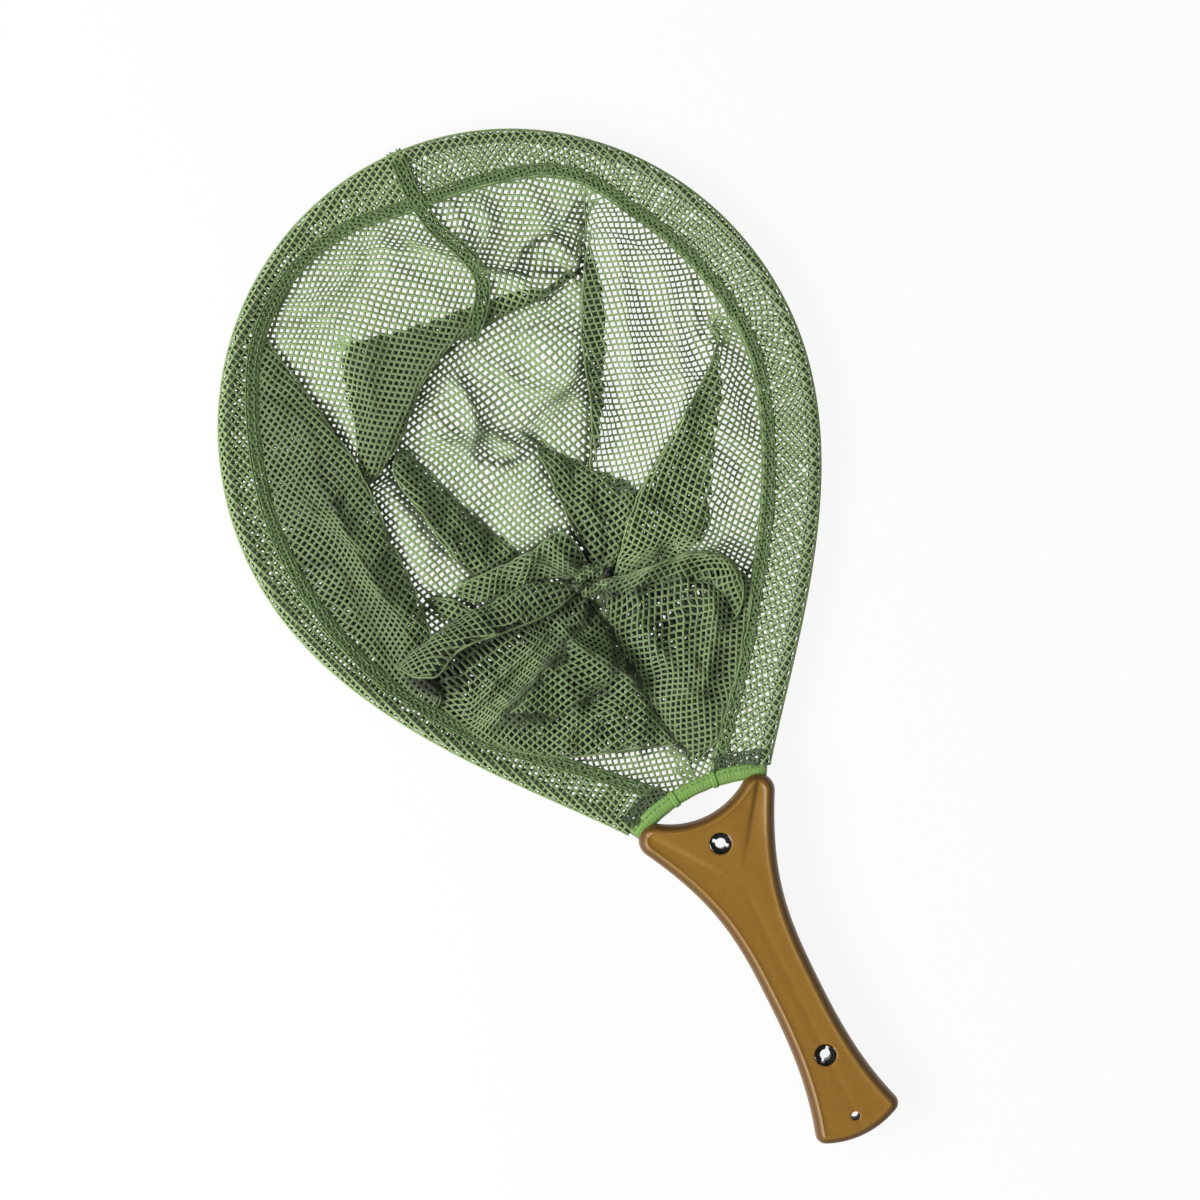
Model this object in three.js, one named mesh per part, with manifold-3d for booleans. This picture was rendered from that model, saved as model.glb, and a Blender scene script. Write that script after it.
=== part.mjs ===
// Landing net with a teardrop hoop, a mesh bag and a moulded two-shell handle.
// Millimetres. +Y runs from the butt of the handle to the tip of the hoop, +Z is up from the table.
import * as THREE from "three";
import { mergeVertices } from "three/addons/utils/BufferGeometryUtils.js";
import Module from "manifold-3d";

// Driving dimensions
const OVERALL_LENGTH = 544;
const HOOP_WIDTH = 299;
const HOOP_CROWN = 155;
const HANDLE_LENGTH = 186.4;
const HANDLE_THICKNESS = 22;
const YOKE_WIDTH = 74;
const GRIP_WIDTH = 27.5;
const BUTT_WIDTH = 45;
const ROD_DIAMETER = 5;
const LEG_DEPTH = 42;
const RIVET_DIAMETER = 11;
const RIVET_BORE = 5.5;
const SLOT_LENGTH = 8.7;
const SLOT_WIDTH = 2;
const LANYARD_BORE = 4.4;
const HEM_WIDTH = 22;
const MESH_THICKNESS = 1.2;
const TAPE_WIDTH = 7.6;
const SHELL_WALL = 2.6;
const CLEARANCE = 0.3;

// Places worked out from the driving dimensions
const tipY = OVERALL_LENGTH / 2;
const buttY = -OVERALL_LENGTH / 2;
const armTopY = buttY + HANDLE_LENGTH;
const midZ = HANDLE_THICKNESS / 2;
const rodRadius = ROD_DIAMETER / 2;
const hemRadius = rodRadius + CLEARANCE + MESH_THICKNESS;
const widestY = tipY - HOOP_CROWN;
const rodHalfWidth = HOOP_WIDTH / 2 - hemRadius;
const rodCrown = HOOP_CROWN - hemRadius;
const armRadius = YOKE_WIDTH * 0.116;
const armCentre = new THREE.Vector2(YOKE_WIDTH / 2 - armRadius, armTopY - armRadius);
const yokeRivetY = armTopY - HANDLE_LENGTH * 0.128;
const gripRivetY = buttY + HANDLE_LENGTH * 0.241;
const lanyardY = buttY + HANDLE_LENGTH * 0.06;
const notchY = armTopY - HANDLE_LENGTH * 0.047;
const gatherPoint = new THREE.Vector2(0, tipY - OVERALL_LENGTH * 0.432);

const wasm = await Module();
wasm.setup();

// Solids and booleans
function toSolid(geometry) {
  const bare = geometry.clone();
  bare.deleteAttribute("normal");
  bare.deleteAttribute("uv");
  const merged = mergeVertices(bare, 1e-4);
  const mesh = new wasm.Mesh({
    numProp: 3,
    vertProperties: new Float32Array(merged.attributes.position.array),
    triVerts: new Uint32Array(merged.index.array),
  });
  mesh.merge();
  return new wasm.Manifold(mesh);
}

function toGeometry(solid) {
  const mesh = solid.getMesh();
  const geometry = new THREE.BufferGeometry();
  geometry.setAttribute("position", new THREE.BufferAttribute(new Float32Array(mesh.vertProperties), 3));
  geometry.setIndex(new THREE.BufferAttribute(new Uint32Array(mesh.triVerts), 1));
  return geometry;
}

function cutAll(solid, tools) {
  return tools.reduce((rest, tool) => rest.subtract(tool), solid);
}

// Closed skin through rings of equal length, each ring an array of points, with flat ends
function loft(rings) {
  const count = rings[0].length;
  const points = rings.flat().flatMap((p) => [p.x, p.y, p.z]);
  const faces = [];
  for (let k = 0; k + 1 < rings.length; k += 1) {
    for (let i = 0; i < count; i += 1) {
      const a = k * count + i;
      const b = k * count + ((i + 1) % count);
      faces.push(a, b, b + count, a, b + count, a + count);
    }
  }
  const flat = (ring) => ring.map((p) => new THREE.Vector2(p.x, p.y));
  const last = (rings.length - 1) * count;
  THREE.ShapeUtils.triangulateShape(flat(rings[0]), []).forEach(([a, b, c]) => faces.push(a, c, b));
  THREE.ShapeUtils.triangulateShape(flat(rings[rings.length - 1]), []).forEach(([a, b, c]) => {
    faces.push(last + a, last + b, last + c);
  });
  const geometry = new THREE.BufferGeometry();
  geometry.setAttribute("position", new THREE.Float32BufferAttribute(points, 3));
  geometry.setIndex(faces);
  return geometry;
}

function sweep(shape, path, steps, curveSegments) {
  return new THREE.ExtrudeGeometry(shape, { steps, extrudePath: path, curveSegments, bevelEnabled: false });
}

function roundShape(radius, sides) {
  const shape = new THREE.Shape();
  for (let i = 0; i < sides; i += 1) {
    const angle = (2 * Math.PI * i) / sides;
    const point = [radius * Math.cos(angle), radius * Math.sin(angle)];
    if (i === 0) shape.moveTo(...point);
    else shape.lineTo(...point);
  }
  shape.closePath();
  return shape;
}

// Upright cylinder between two heights
function post(x, y, radius, low, high, sides) {
  const geometry = new THREE.CylinderGeometry(radius, radius, high - low, sides);
  geometry.rotateX(Math.PI / 2);
  geometry.translate(x, y, (low + high) / 2);
  return toSolid(geometry);
}

// Cylinder between two points
function bar(from, to, radius, sides) {
  const along = to.clone().sub(from);
  const geometry = new THREE.CylinderGeometry(radius, radius, along.length(), sides);
  const turn = new THREE.Quaternion().setFromUnitVectors(new THREE.Vector3(0, 1, 0), along.normalize());
  geometry.applyQuaternion(turn);
  geometry.translate((from.x + to.x) / 2, (from.y + to.y) / 2, (from.z + to.z) / 2);
  return toSolid(geometry);
}

// Hoop: an elliptic crown, two flanks that run in to the arms, and two straight legs inside them
const mouth = new THREE.Vector2(armCentre.x + armRadius * 0.72, armTopY);
const legTurn = THREE.MathUtils.degToRad(24);
const legTop = new THREE.Vector2(mouth.x - 3.2, mouth.y - 6.4);

function flankPoints(count) {
  const reach = widestY - mouth.y;
  const curve = new THREE.CubicBezierCurve(
    new THREE.Vector2(rodHalfWidth, widestY),
    new THREE.Vector2(rodHalfWidth, widestY - reach * 0.41),
    new THREE.Vector2(mouth.x + reach * 0.19, mouth.y + reach * 0.25),
    mouth,
  );
  return curve.getPoints(count);
}

function crownPoints(count) {
  return Array.from({ length: count + 1 }, (_, i) => {
    const angle = (Math.PI / 2) * (i / count);
    return new THREE.Vector2(rodHalfWidth * Math.cos(angle), widestY + rodCrown * Math.sin(angle));
  });
}

function mirrored(points) {
  return points.map((p) => new THREE.Vector2(-p.x, p.y)).reverse();
}

const flank = flankPoints(12);
const crown = crownPoints(14);
const rightSide = [...[...flank].reverse(), ...crown.slice(1)];
const hoopLine = [...rightSide, ...mirrored(rightSide.slice(0, -1))];
const legLine = [1, 0.5, 0].map(
  (share) =>
    new THREE.Vector2(
      legTop.x - Math.sin(legTurn) * LEG_DEPTH * share,
      legTop.y - Math.cos(legTurn) * LEG_DEPTH * share,
    ),
);
const rodLine = [...legLine, ...hoopLine, ...mirrored(legLine)];

function levelCurve(points, z) {
  return new THREE.CatmullRomCurve3(
    points.map((p) => new THREE.Vector3(p.x, p.y, z)),
    false,
    "centripetal",
  );
}

const rodCurve = levelCurve(rodLine, midZ);
const hoopCurve = levelCurve(hoopLine, midZ);

const rodSteps = 76;

function hoopRod() {
  return sweep(roundShape(rodRadius, 8), rodCurve, rodSteps, 1);
}

// Room that the pieces round the rod leave for it
function rodTunnel() {
  const facetRoom = 0.15;
  return toSolid(sweep(roundShape(rodRadius + CLEARANCE + facetRoom, 8), rodCurve, rodSteps, 1));
}

// Handle outline: notched yoke, round arms, drawn-in neck, waist, flared butt with a bowed end
function handleOutline() {
  const notchDrop = armCentre.y - notchY;
  const notchRadius = (armCentre.lengthSq() - armCentre.y ** 2 + notchDrop ** 2 - armRadius ** 2)
    / (2 * (armRadius + notchDrop));
  const notchTurn = Math.atan2(armCentre.x, notchRadius - notchDrop);
  const armEnd = -0.5;
  const cornerStart = 0.3;
  const cornerRadius = BUTT_WIDTH * 0.115;
  const cornerX = BUTT_WIDTH / 2 - cornerRadius;
  const cornerRise = HANDLE_LENGTH * 0.048;
  const cornerY = buttY + cornerRise;
  const endRadius = (cornerX ** 2 + cornerRise ** 2 - cornerRadius ** 2)
    / (2 * (cornerRise - cornerRadius));
  const endTurn = Math.atan2(cornerX, endRadius - cornerRise);
  const waistY = buttY + HANDLE_LENGTH * 0.41;
  const neckPull = HANDLE_LENGTH * 0.245;
  const flarePull = HANDLE_LENGTH * 0.1;
  const onArc = (x, y, radius, angle) => {
    return new THREE.Vector2(x + radius * Math.cos(angle), y + radius * Math.sin(angle));
  };
  const armFoot = onArc(armCentre.x, armCentre.y, armRadius, armEnd);
  const flare = onArc(cornerX, cornerY, cornerRadius, cornerStart);
  const half = new THREE.Path();
  half.absarc(0, notchY + notchRadius, notchRadius, -Math.PI / 2, -Math.PI / 2 + notchTurn, false);
  half.absarc(armCentre.x, armCentre.y, armRadius, Math.PI / 2 + notchTurn, armEnd, true);
  half.bezierCurveTo(
    armFoot.x + neckPull * Math.sin(armEnd),
    armFoot.y - neckPull * Math.cos(armEnd),
    GRIP_WIDTH / 2,
    waistY + HANDLE_LENGTH * 0.19,
    GRIP_WIDTH / 2,
    waistY,
  );
  half.bezierCurveTo(
    GRIP_WIDTH / 2,
    waistY - HANDLE_LENGTH * 0.16,
    flare.x - flarePull * Math.sin(cornerStart),
    flare.y + flarePull * Math.cos(cornerStart),
    flare.x,
    flare.y,
  );
  half.absarc(cornerX, cornerY, cornerRadius, cornerStart, -Math.PI / 2 + endTurn, true);
  half.absarc(0, buttY + endRadius, endRadius, -Math.PI / 2 + endTurn, -Math.PI / 2, true);
  const points = [];
  half.curves.forEach((curve) => {
    const samples = Math.max(3, Math.round(curve.getLength() / 6));
    curve.getPoints(samples).forEach((p) => {
      const before = points[points.length - 1];
      if (!before || before.distanceTo(p) > 0.4) points.push(p);
    });
  });
  const left = mirrored(points.slice(1, -1));
  return [...points, ...left].reverse();
}

const outline = handleOutline();

function insetRing(distance, z) {
  const count = outline.length;
  return outline.map((p, i) => {
    const before = outline[(i + count - 1) % count];
    const after = outline[(i + 1) % count];
    const along = after.clone().sub(before).normalize();
    return new THREE.Vector3(p.x - along.y * distance, p.y + along.x * distance, z);
  });
}

// One shell before cutting: drafted side, elliptic edge, flat face, standing on the parting plane
const edgeInset = 4;
const edgeDrop = 6;
const draft = 0.5;
const shellDepth = midZ - CLEARANCE / 2;

function shellBlank() {
  const rings = [insetRing(0, 0), insetRing(draft, shellDepth - edgeDrop)];
  for (let step = 1; step <= 3; step += 1) {
    const angle = (Math.PI / 2) * (step / 3);
    rings.push(
      insetRing(
        draft + (edgeInset - draft) * (1 - Math.cos(angle)),
        shellDepth - edgeDrop * (1 - Math.sin(angle)),
      ),
    );
  }
  return toSolid(loft(rings));
}

function legEnds(side, z, grow) {
  const ends = [legLine[2], legLine[0]].map((p) => new THREE.Vector3(p.x * side, p.y, z));
  const along = ends[1].clone().sub(ends[0]).normalize().multiplyScalar(grow);
  return [ends[0].sub(along), ends[1].add(along)];
}

// Hollow of a shell, leaving sockets round the legs, bosses round the bores and cross ribs in the grip
function shellHollow() {
  const bossWall = 2.4;
  const ribThickness = 2;
  const ribCount = 5;
  const roof = shellDepth - SHELL_WALL;
  const wallInset = SHELL_WALL + draft;
  const keep = [-1, 1].map((side) => bar(...legEnds(side, 0, 4), rodRadius + CLEARANCE + bossWall, 10));
  [yokeRivetY, gripRivetY].forEach((y) => {
    keep.push(post(0, y, RIVET_DIAMETER / 2 + bossWall, -1, roof + 1, 16));
  });
  keep.push(post(0, lanyardY, LANYARD_BORE / 2 + bossWall, -1, roof + 1, 12));
  for (let i = 0; i < ribCount; i += 1) {
    const y = gripRivetY + ((yokeRivetY - gripRivetY) * (i + 0.5)) / ribCount;
    const rib = new THREE.BoxGeometry(YOKE_WIDTH, ribThickness, roof * 2);
    rib.translate(0, y, 0);
    keep.push(toSolid(rib));
  }
  return cutAll(toSolid(loft([insetRing(wallInset, -1), insetRing(wallInset + draft, roof)])), keep);
}

// Shallow grooves on the face that set the socket ridges of the arms off from the yoke, fading to the grip
function armGrooves() {
  const radius = 4.5;
  const depth = 1.3;
  const fade = 0.1;
  const topRise = 3;
  const lowAside = 10;
  const lowRise = 3.4;
  return [-1, 1].map((side) => {
    const lift = shellDepth - depth + radius;
    const top = new THREE.Vector3(side * legTop.x, legTop.y + topRise, lift);
    const low = new THREE.Vector3(
      side * (legLine[0].x - lowAside),
      legLine[0].y + lowRise,
      lift + depth + fade,
    );
    return bar(top, low, radius, 12);
  });
}

function handleShell() {
  const bores = [yokeRivetY, gripRivetY].map((y) => {
    return post(0, y, RIVET_DIAMETER / 2, -1, shellDepth + 1, 20);
  });
  const lanyard = post(0, lanyardY, LANYARD_BORE / 2, -1, shellDepth + 1, 14);
  const channels = rodTunnel().translate([0, 0, -midZ]);
  const cutters = [shellHollow(), ...bores, lanyard, channels, ...armGrooves()];
  return toGeometry(cutAll(shellBlank(), cutters));
}

// Hollow snap rivet: a slit stud from the back, and the ring cap that it clips into from the front
const rivetRecess = 4.5;
const studRadius = SLOT_LENGTH / 2 + 0.35;

function rivetSlot(turn, low, high) {
  const slot = new THREE.BoxGeometry(SLOT_LENGTH, SLOT_WIDTH, high - low);
  slot.rotateZ(turn);
  slot.translate(0, 0, (low + high) / 2);
  return toSolid(slot);
}

function rivetStud(turn) {
  const flangeRadius = RIVET_DIAMETER / 2 - CLEARANCE;
  const low = rivetRecess;
  const high = HANDLE_THICKNESS - rivetRecess;
  const flange = 2;
  const body = post(0, 0, flangeRadius, low, low + flange, 20).add(post(0, 0, studRadius, low, high, 20));
  const bore = post(0, 0, RIVET_BORE / 2, 0, high + 1, 16);
  return toGeometry(cutAll(body, [bore, rivetSlot(turn, 0, high + 1)]));
}

function rivetCap() {
  const depth = 5;
  const high = HANDLE_THICKNESS - rivetRecess + 0.6;
  const ring = post(0, 0, RIVET_DIAMETER / 2 - CLEARANCE, high - depth, high, 20);
  return toGeometry(ring.subtract(post(0, 0, studRadius + CLEARANCE / 2, 0, high + 1, 20)));
}

// Throat: an arched rod in three lengths of binding, with a folded cuff between them
const throatRise = TAPE_WIDTH;
const throatHalf = mouth.x + 1.2;
const throatEndY = armTopY - 1;
const throatRadius = (throatHalf ** 2 + throatRise ** 2) / (2 * throatRise);
const throatRod = 3;
const cuffPlace = 0.3;
const cuffLength = 3;

function throatCurve(fromShare, toShare) {
  const span = Math.asin(throatHalf / throatRadius);
  const points = Array.from({ length: 9 }, (_, i) => {
    const angle = span * (fromShare + ((toShare - fromShare) * i) / 8);
    return new THREE.Vector2(
      throatRadius * Math.sin(angle),
      throatEndY + throatRise + throatRadius * (Math.cos(angle) - 1),
    );
  });
  return levelCurve(points, midZ);
}

function flatTube(high, wide, hole) {
  const shape = new THREE.Shape();
  shape.absellipse(0, 0, high / 2, wide / 2, 0, 2 * Math.PI, false);
  if (hole) shape.holes.push(new THREE.Path(roundShape(hole, 8).getPoints(1)));
  return shape;
}

function throatTape(from, to, width) {
  const height = ROD_DIAMETER + 3;
  const shape = flatTube(height, width, throatRod / 2 + CLEARANCE);
  const tape = toSolid(sweep(shape, throatCurve(from, to), 7, 6));
  const arms = [-1, 1].map((side) => {
    return post(side * armCentre.x, armCentre.y, armRadius + CLEARANCE, -1, HANDLE_THICKNESS + 1, 32);
  });
  return toGeometry(cutAll(tape, [rodTunnel(), ...arms]));
}

function throatCuff(side) {
  const half = cuffLength / 2 / throatHalf;
  const shape = flatTube(ROD_DIAMETER + 3.4, TAPE_WIDTH + 0.6, throatRod / 2 + CLEARANCE);
  return sweep(shape, throatCurve(side * cuffPlace - half, side * cuffPlace + half), 2, 6);
}

// Hem: mesh folded round the rod, its doubled tail reaching in and down to the bag
const tailReach = HEM_WIDTH - hemRadius;
const tailDrop = 5;

function tailHeight(inward) {
  return midZ - tailDrop * (inward / tailReach) ** 2;
}

function hemSleeve() {
  const shape = new THREE.Shape();
  const half = MESH_THICKNESS / 2;
  const open = 0.35;
  shape.absarc(0, 0, hemRadius, Math.PI / 2 + open, Math.PI * 2.5 - open, false);
  const stations = [0.45, 0.75, 1].map((share) => tailReach * share);
  stations.forEach((n) => shape.lineTo(midZ - tailHeight(n) + half, n));
  [...stations].reverse().forEach((n) => shape.lineTo(midZ - tailHeight(n) - half, n));
  shape.closePath();
  shape.holes.push(new THREE.Path(roundShape(rodRadius + CLEARANCE, 8).getPoints(1)));
  const sleeve = toSolid(sweep(shape, hoopCurve, 56, 4));
  const room = flatTube(HANDLE_THICKNESS, TAPE_WIDTH + 4 * CLEARANCE, 0);
  return toGeometry(sleeve.subtract(toSolid(sweep(room, throatCurve(-1.5, 1.5), 12, 6))));
}

function inwardPoint(share, inward) {
  const at = hoopCurve.getPointAt(share);
  const along = hoopCurve.getTangentAt(share);
  return new THREE.Vector2(at.x - along.y * inward, at.y + along.x * inward);
}

function hemFacing() {
  const width = 7;
  const thick = 0.8;
  const samples = 60;
  const margin = 0.02;
  const rows = Array.from({ length: samples + 1 }, (_, i) => {
    const share = margin + ((1 - 2 * margin) * i) / samples;
    return [tailReach - width, tailReach].map((inward) => {
      const p = inwardPoint(share, inward);
      const z = tailHeight(inward) + MESH_THICKNESS / 2 + CLEARANCE + 0.3;
      return new THREE.Vector3(p.x, p.y, z);
    });
  });
  return strip(rows, thick);
}

// Thin solid over a run of rows of equal length, its underside straight below its top
function strip(rows, thick) {
  const across = rows[0].length;
  const top = rows.flat();
  const count = top.length;
  const points = [...top.map((p) => [p.x, p.y, p.z + thick]), ...top.map((p) => [p.x, p.y, p.z])].flat();
  const faces = [];
  const quad = (a, b, c, d) => faces.push(a, b, c, a, c, d);
  const edge = [];
  for (let r = 0; r < rows.length; r += 1) edge.push(r * across);
  for (let c = 1; c < across; c += 1) edge.push((rows.length - 1) * across + c);
  for (let r = rows.length - 2; r >= 0; r -= 1) edge.push(r * across + across - 1);
  for (let c = across - 2; c > 0; c -= 1) edge.push(c);
  for (let r = 0; r + 1 < rows.length; r += 1) {
    for (let c = 0; c + 1 < across; c += 1) {
      const a = r * across + c;
      quad(a, a + across, a + across + 1, a + 1);
      quad(count + a, count + a + 1, count + a + across + 1, count + a + across);
    }
  }
  edge.forEach((a, i) => {
    const b = edge[(i + 1) % edge.length];
    quad(a, a + count, b + count, b);
  });
  const geometry = new THREE.BufferGeometry();
  geometry.setAttribute("position", new THREE.Float32BufferAttribute(points, 3));
  geometry.setIndex(faces);
  return geometry;
}

// Bag: a slack net from the hem and the throat to the gathered bottom, lying on the table in folds.
// Bands run in from the rim and round the bag, with a grid of openings between them.
const rimBands = 21;
const throatBands = 3;
const openRows = 5;
const bandShare = 0.36;
const foldHeight = 9;
const foldCount = 7;
const gatherRadius = 7;
const lyingShare = 0.2;

// Both edges of each band, as shares of a length that holds so many bands
function bandEdges(count) {
  return Array.from({ length: count }, (_, k) => {
    const middle = k + 0.5;
    return [(middle - bandShare / 2) / count, (middle + bandShare / 2) / count];
  }).flat();
}

// Edges of the bands that run round the bag, as shares of the way in from the rim
const ringShares = Array.from({ length: openRows + 1 }, (_, row) => {
  return [row / (openRows + bandShare), (row + bandShare) / (openRows + bandShare)];
}).flat();

function bagRim() {
  const inset = tailReach + CLEARANCE + 0.2;
  const margin = 0.006;
  const place = (share) => inwardPoint(margin + (1 - 2 * margin) * share, inset);
  const right = place(0);
  const left = place(1);
  const tapeTop = throatEndY + throatRise + TAPE_WIDTH / 2 + CLEARANCE + 0.4;
  const across = bandEdges(throatBands).map((share) => {
    const sag = Math.sin(Math.PI * share);
    const y = THREE.MathUtils.lerp(left.y, tapeTop, Math.min(1, sag * 1.6));
    return new THREE.Vector2(THREE.MathUtils.lerp(left.x, right.x, share), y);
  });
  return [...bandEdges(rimBands).map(place), ...across];
}

// Folds stand high where the rim lies near the gathered point, since most cloth is left over there
function bagHeight(rim, inward, rimZ) {
  const away = rim.distanceTo(gatherPoint);
  const slack = THREE.MathUtils.clamp(1.25 - away / (HOOP_CROWN * 1.35), 0.25, 1);
  const turn = Math.atan2(rim.y - gatherPoint.y, rim.x - gatherPoint.x);
  const ridge = (0.5 + 0.5 * Math.cos(foldCount * turn + 2.2 * inward)) ** 2;
  const fade = Math.sin(Math.PI * THREE.MathUtils.clamp((inward - 0.1) / 0.9, 0, 1));
  const fall = THREE.MathUtils.smoothstep(inward, 0, lyingShare);
  return THREE.MathUtils.lerp(rimZ, MESH_THICKNESS, fall) + foldHeight * slack * ridge * fade;
}

function bagRings() {
  const rim = bagRim();
  const rimZ = tailHeight(tailReach) + MESH_THICKNESS / 2;
  return ringShares.map((inward) => {
    return rim.map((p) => {
      const out = p.clone().sub(gatherPoint);
      const reach = THREE.MathUtils.lerp(out.length(), gatherRadius, inward);
      out.setLength(reach);
      return new THREE.Vector3(gatherPoint.x + out.x, gatherPoint.y + out.y, bagHeight(p, inward, rimZ));
    });
  });
}

const bagSkin = bagRings();

function bagBody() {
  const closed = bagSkin[0].length;
  const top = bagSkin.flat();
  const count = top.length;
  const points = [
    ...top.map((p) => [p.x, p.y, p.z]),
    ...top.map((p) => [p.x, p.y, p.z - MESH_THICKNESS]),
  ].flat();
  const faces = [];
  const quad = (a, b, c, d) => faces.push(a, b, c, a, c, d);
  for (let r = 0; r + 1 < bagSkin.length; r += 1) {
    for (let i = 0; i < closed; i += 1) {
      const a = r * closed + i;
      const b = r * closed + ((i + 1) % closed);
      const corners = [a, b, b + closed, a + closed];
      if (r % 2 === 1 && i % 2 === 1) {
        corners.forEach((p, k) => {
          const q = corners[(k + 1) % corners.length];
          quad(p, q, q + count, p + count);
        });
      } else {
        quad(...corners);
        quad(...corners.map((p) => p + count).reverse());
      }
    }
  }
  for (let i = 0; i < closed; i += 1) {
    const b = (i + 1) % closed;
    const last = (bagSkin.length - 1) * closed;
    quad(i, i + count, b + count, b);
    quad(last + b, last + b + count, last + i + count, last + i);
  }
  const skin = new THREE.BufferGeometry();
  skin.setAttribute("position", new THREE.Float32BufferAttribute(points, 3));
  skin.setIndex(faces);
  return toGeometry(toSolid(skin).add(toSolid(gatherBunch())));
}

// Drawn-together bottom: a foot inside the last ring, a neck for the tie and a puffed head
const neckRadius = 5;
const neckZ = 7;
const tieCord = 0.9;
const bunchRadius = 7;
const bunchRise = 5.4;
const footLip = 1.5;

function gatherBunch() {
  const neckHalf = tieCord + 2 * CLEARANCE;
  const profile = [
    [0, MESH_THICKNESS * 0.2],
    [gatherRadius + footLip, MESH_THICKNESS * 0.4],
    [gatherRadius + footLip * 0.7, MESH_THICKNESS * 1.6],
    [neckRadius, neckZ - neckHalf],
    [neckRadius, neckZ + neckHalf],
    [bunchRadius, neckZ + bunchRise * 0.6],
    [bunchRadius * 0.6, neckZ + bunchRise * 0.93],
    [0, neckZ + bunchRise],
  ].map(([r, z]) => new THREE.Vector2(r, z));
  const bunch = new THREE.LatheGeometry(profile, 16);
  bunch.rotateX(Math.PI / 2);
  bunch.translate(gatherPoint.x, gatherPoint.y, 0);
  return bunch;
}

function gatherTie() {
  const tie = new THREE.TorusGeometry(neckRadius + CLEARANCE + tieCord, tieCord, 6, 16);
  tie.translate(gatherPoint.x, gatherPoint.y, neckZ);
  return tie;
}

// Doubled seam that lies along the middle band of the bag, from the tip towards the gathered bottom
function bagSeam() {
  const width = 8;
  const thick = 0.8;
  const middle = rimBands - 1;
  const lift = new THREE.Vector3(0, 0, CLEARANCE);
  const rows = bagSkin.slice(0, 8).map((ring) => {
    const near = ring[middle].clone().lerp(ring[middle + 1], 0.5).add(lift);
    const aside = ring[middle + 1].clone().sub(ring[middle]).setLength(width / 2);
    return [1, 0, -1].map((side) => near.clone().addScaledVector(aside, side));
  });
  return strip(rows, thick);
}

// Materials, one for each sub-part
function mesh(name, geometry, color, roughness, metalness = 0) {
  const material = new THREE.MeshStandardMaterial({ color, roughness, metalness });
  const part = new THREE.Mesh(geometry, material);
  part.name = name;
  return part;
}

const brown = 0x9b7330;
const black = 0x141412;
const steel = 0x8f948f;
const bindingGreen = 0x7da555;
const meshGreen = 0x506e46;

function handle() {
  const group = new THREE.Group();
  group.name = "handle";
  const shell = handleShell();
  const front = mesh("handle_front_shell", shell, brown, 0.45);
  front.position.z = midZ + CLEARANCE / 2;
  const back = mesh("handle_back_shell", shell.clone(), brown, 0.45);
  back.position.z = midZ - CLEARANCE / 2;
  back.rotation.y = Math.PI;
  group.add(front, back);
  const places = [
    ["yoke", yokeRivetY, -Math.PI / 4],
    ["grip", gripRivetY, Math.PI / 4],
  ];
  places.forEach(([name, y, turn]) => {
    const stud = mesh(`${name}_rivet_stud`, rivetStud(turn), black, 0.4);
    const cap = mesh(`${name}_rivet_cap`, rivetCap(), black, 0.4);
    stud.position.y = y;
    cap.position.y = y;
    group.add(stud, cap);
  });
  return group;
}

function throat() {
  const group = new THREE.Group();
  group.name = "throat";
  const gap = (cuffLength / 2 + CLEARANCE) / throatHalf;
  const rodShare = 1 - (rodRadius + CLEARANCE + 2.2) / throatHalf;
  const rod = sweep(roundShape(throatRod / 2, 8), throatCurve(-rodShare, rodShare), 16, 1);
  const reach = 1.07;
  const rightTape = throatTape(cuffPlace + gap, reach, TAPE_WIDTH);
  const midTape = throatTape(-cuffPlace + gap, cuffPlace - gap, TAPE_WIDTH - 1);
  const leftTape = throatTape(-reach, -cuffPlace - gap, TAPE_WIDTH);
  group.add(mesh("throat_rod", rod, steel, 0.35, 0.9));
  group.add(mesh("throat_tape_right", rightTape, bindingGreen, 0.7));
  group.add(mesh("throat_tape_mid", midTape, bindingGreen, 0.7));
  group.add(mesh("throat_tape_left", leftTape, bindingGreen, 0.7));
  group.add(mesh("throat_cuff_left", throatCuff(-1), bindingGreen, 0.7));
  group.add(mesh("throat_cuff_right", throatCuff(1), bindingGreen, 0.7));
  return group;
}

function net() {
  const group = new THREE.Group();
  group.name = "net";
  group.add(mesh("hem_sleeve", hemSleeve(), meshGreen, 0.85));
  group.add(mesh("hem_facing", hemFacing(), meshGreen, 0.85));
  group.add(mesh("bag_body", bagBody(), meshGreen, 0.85));
  group.add(mesh("bag_seam", bagSeam(), meshGreen, 0.85));
  group.add(mesh("gather_tie", gatherTie(), meshGreen, 0.85));
  return group;
}

const landingNet = new THREE.Group();
landingNet.name = "landing_net";
landingNet.add(handle());
landingNet.add(mesh("hoop_rod", hoopRod(), steel, 0.35, 0.9));
landingNet.add(throat());
landingNet.add(net());

export default landingNet;
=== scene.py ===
import bpy
import math
import random
import time
import numpy as np
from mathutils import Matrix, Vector, noise
from mathutils.bvhtree import BVHTree
from mathutils.geometry import delaunay_2d_cdt, interpolate_bezier


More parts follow.
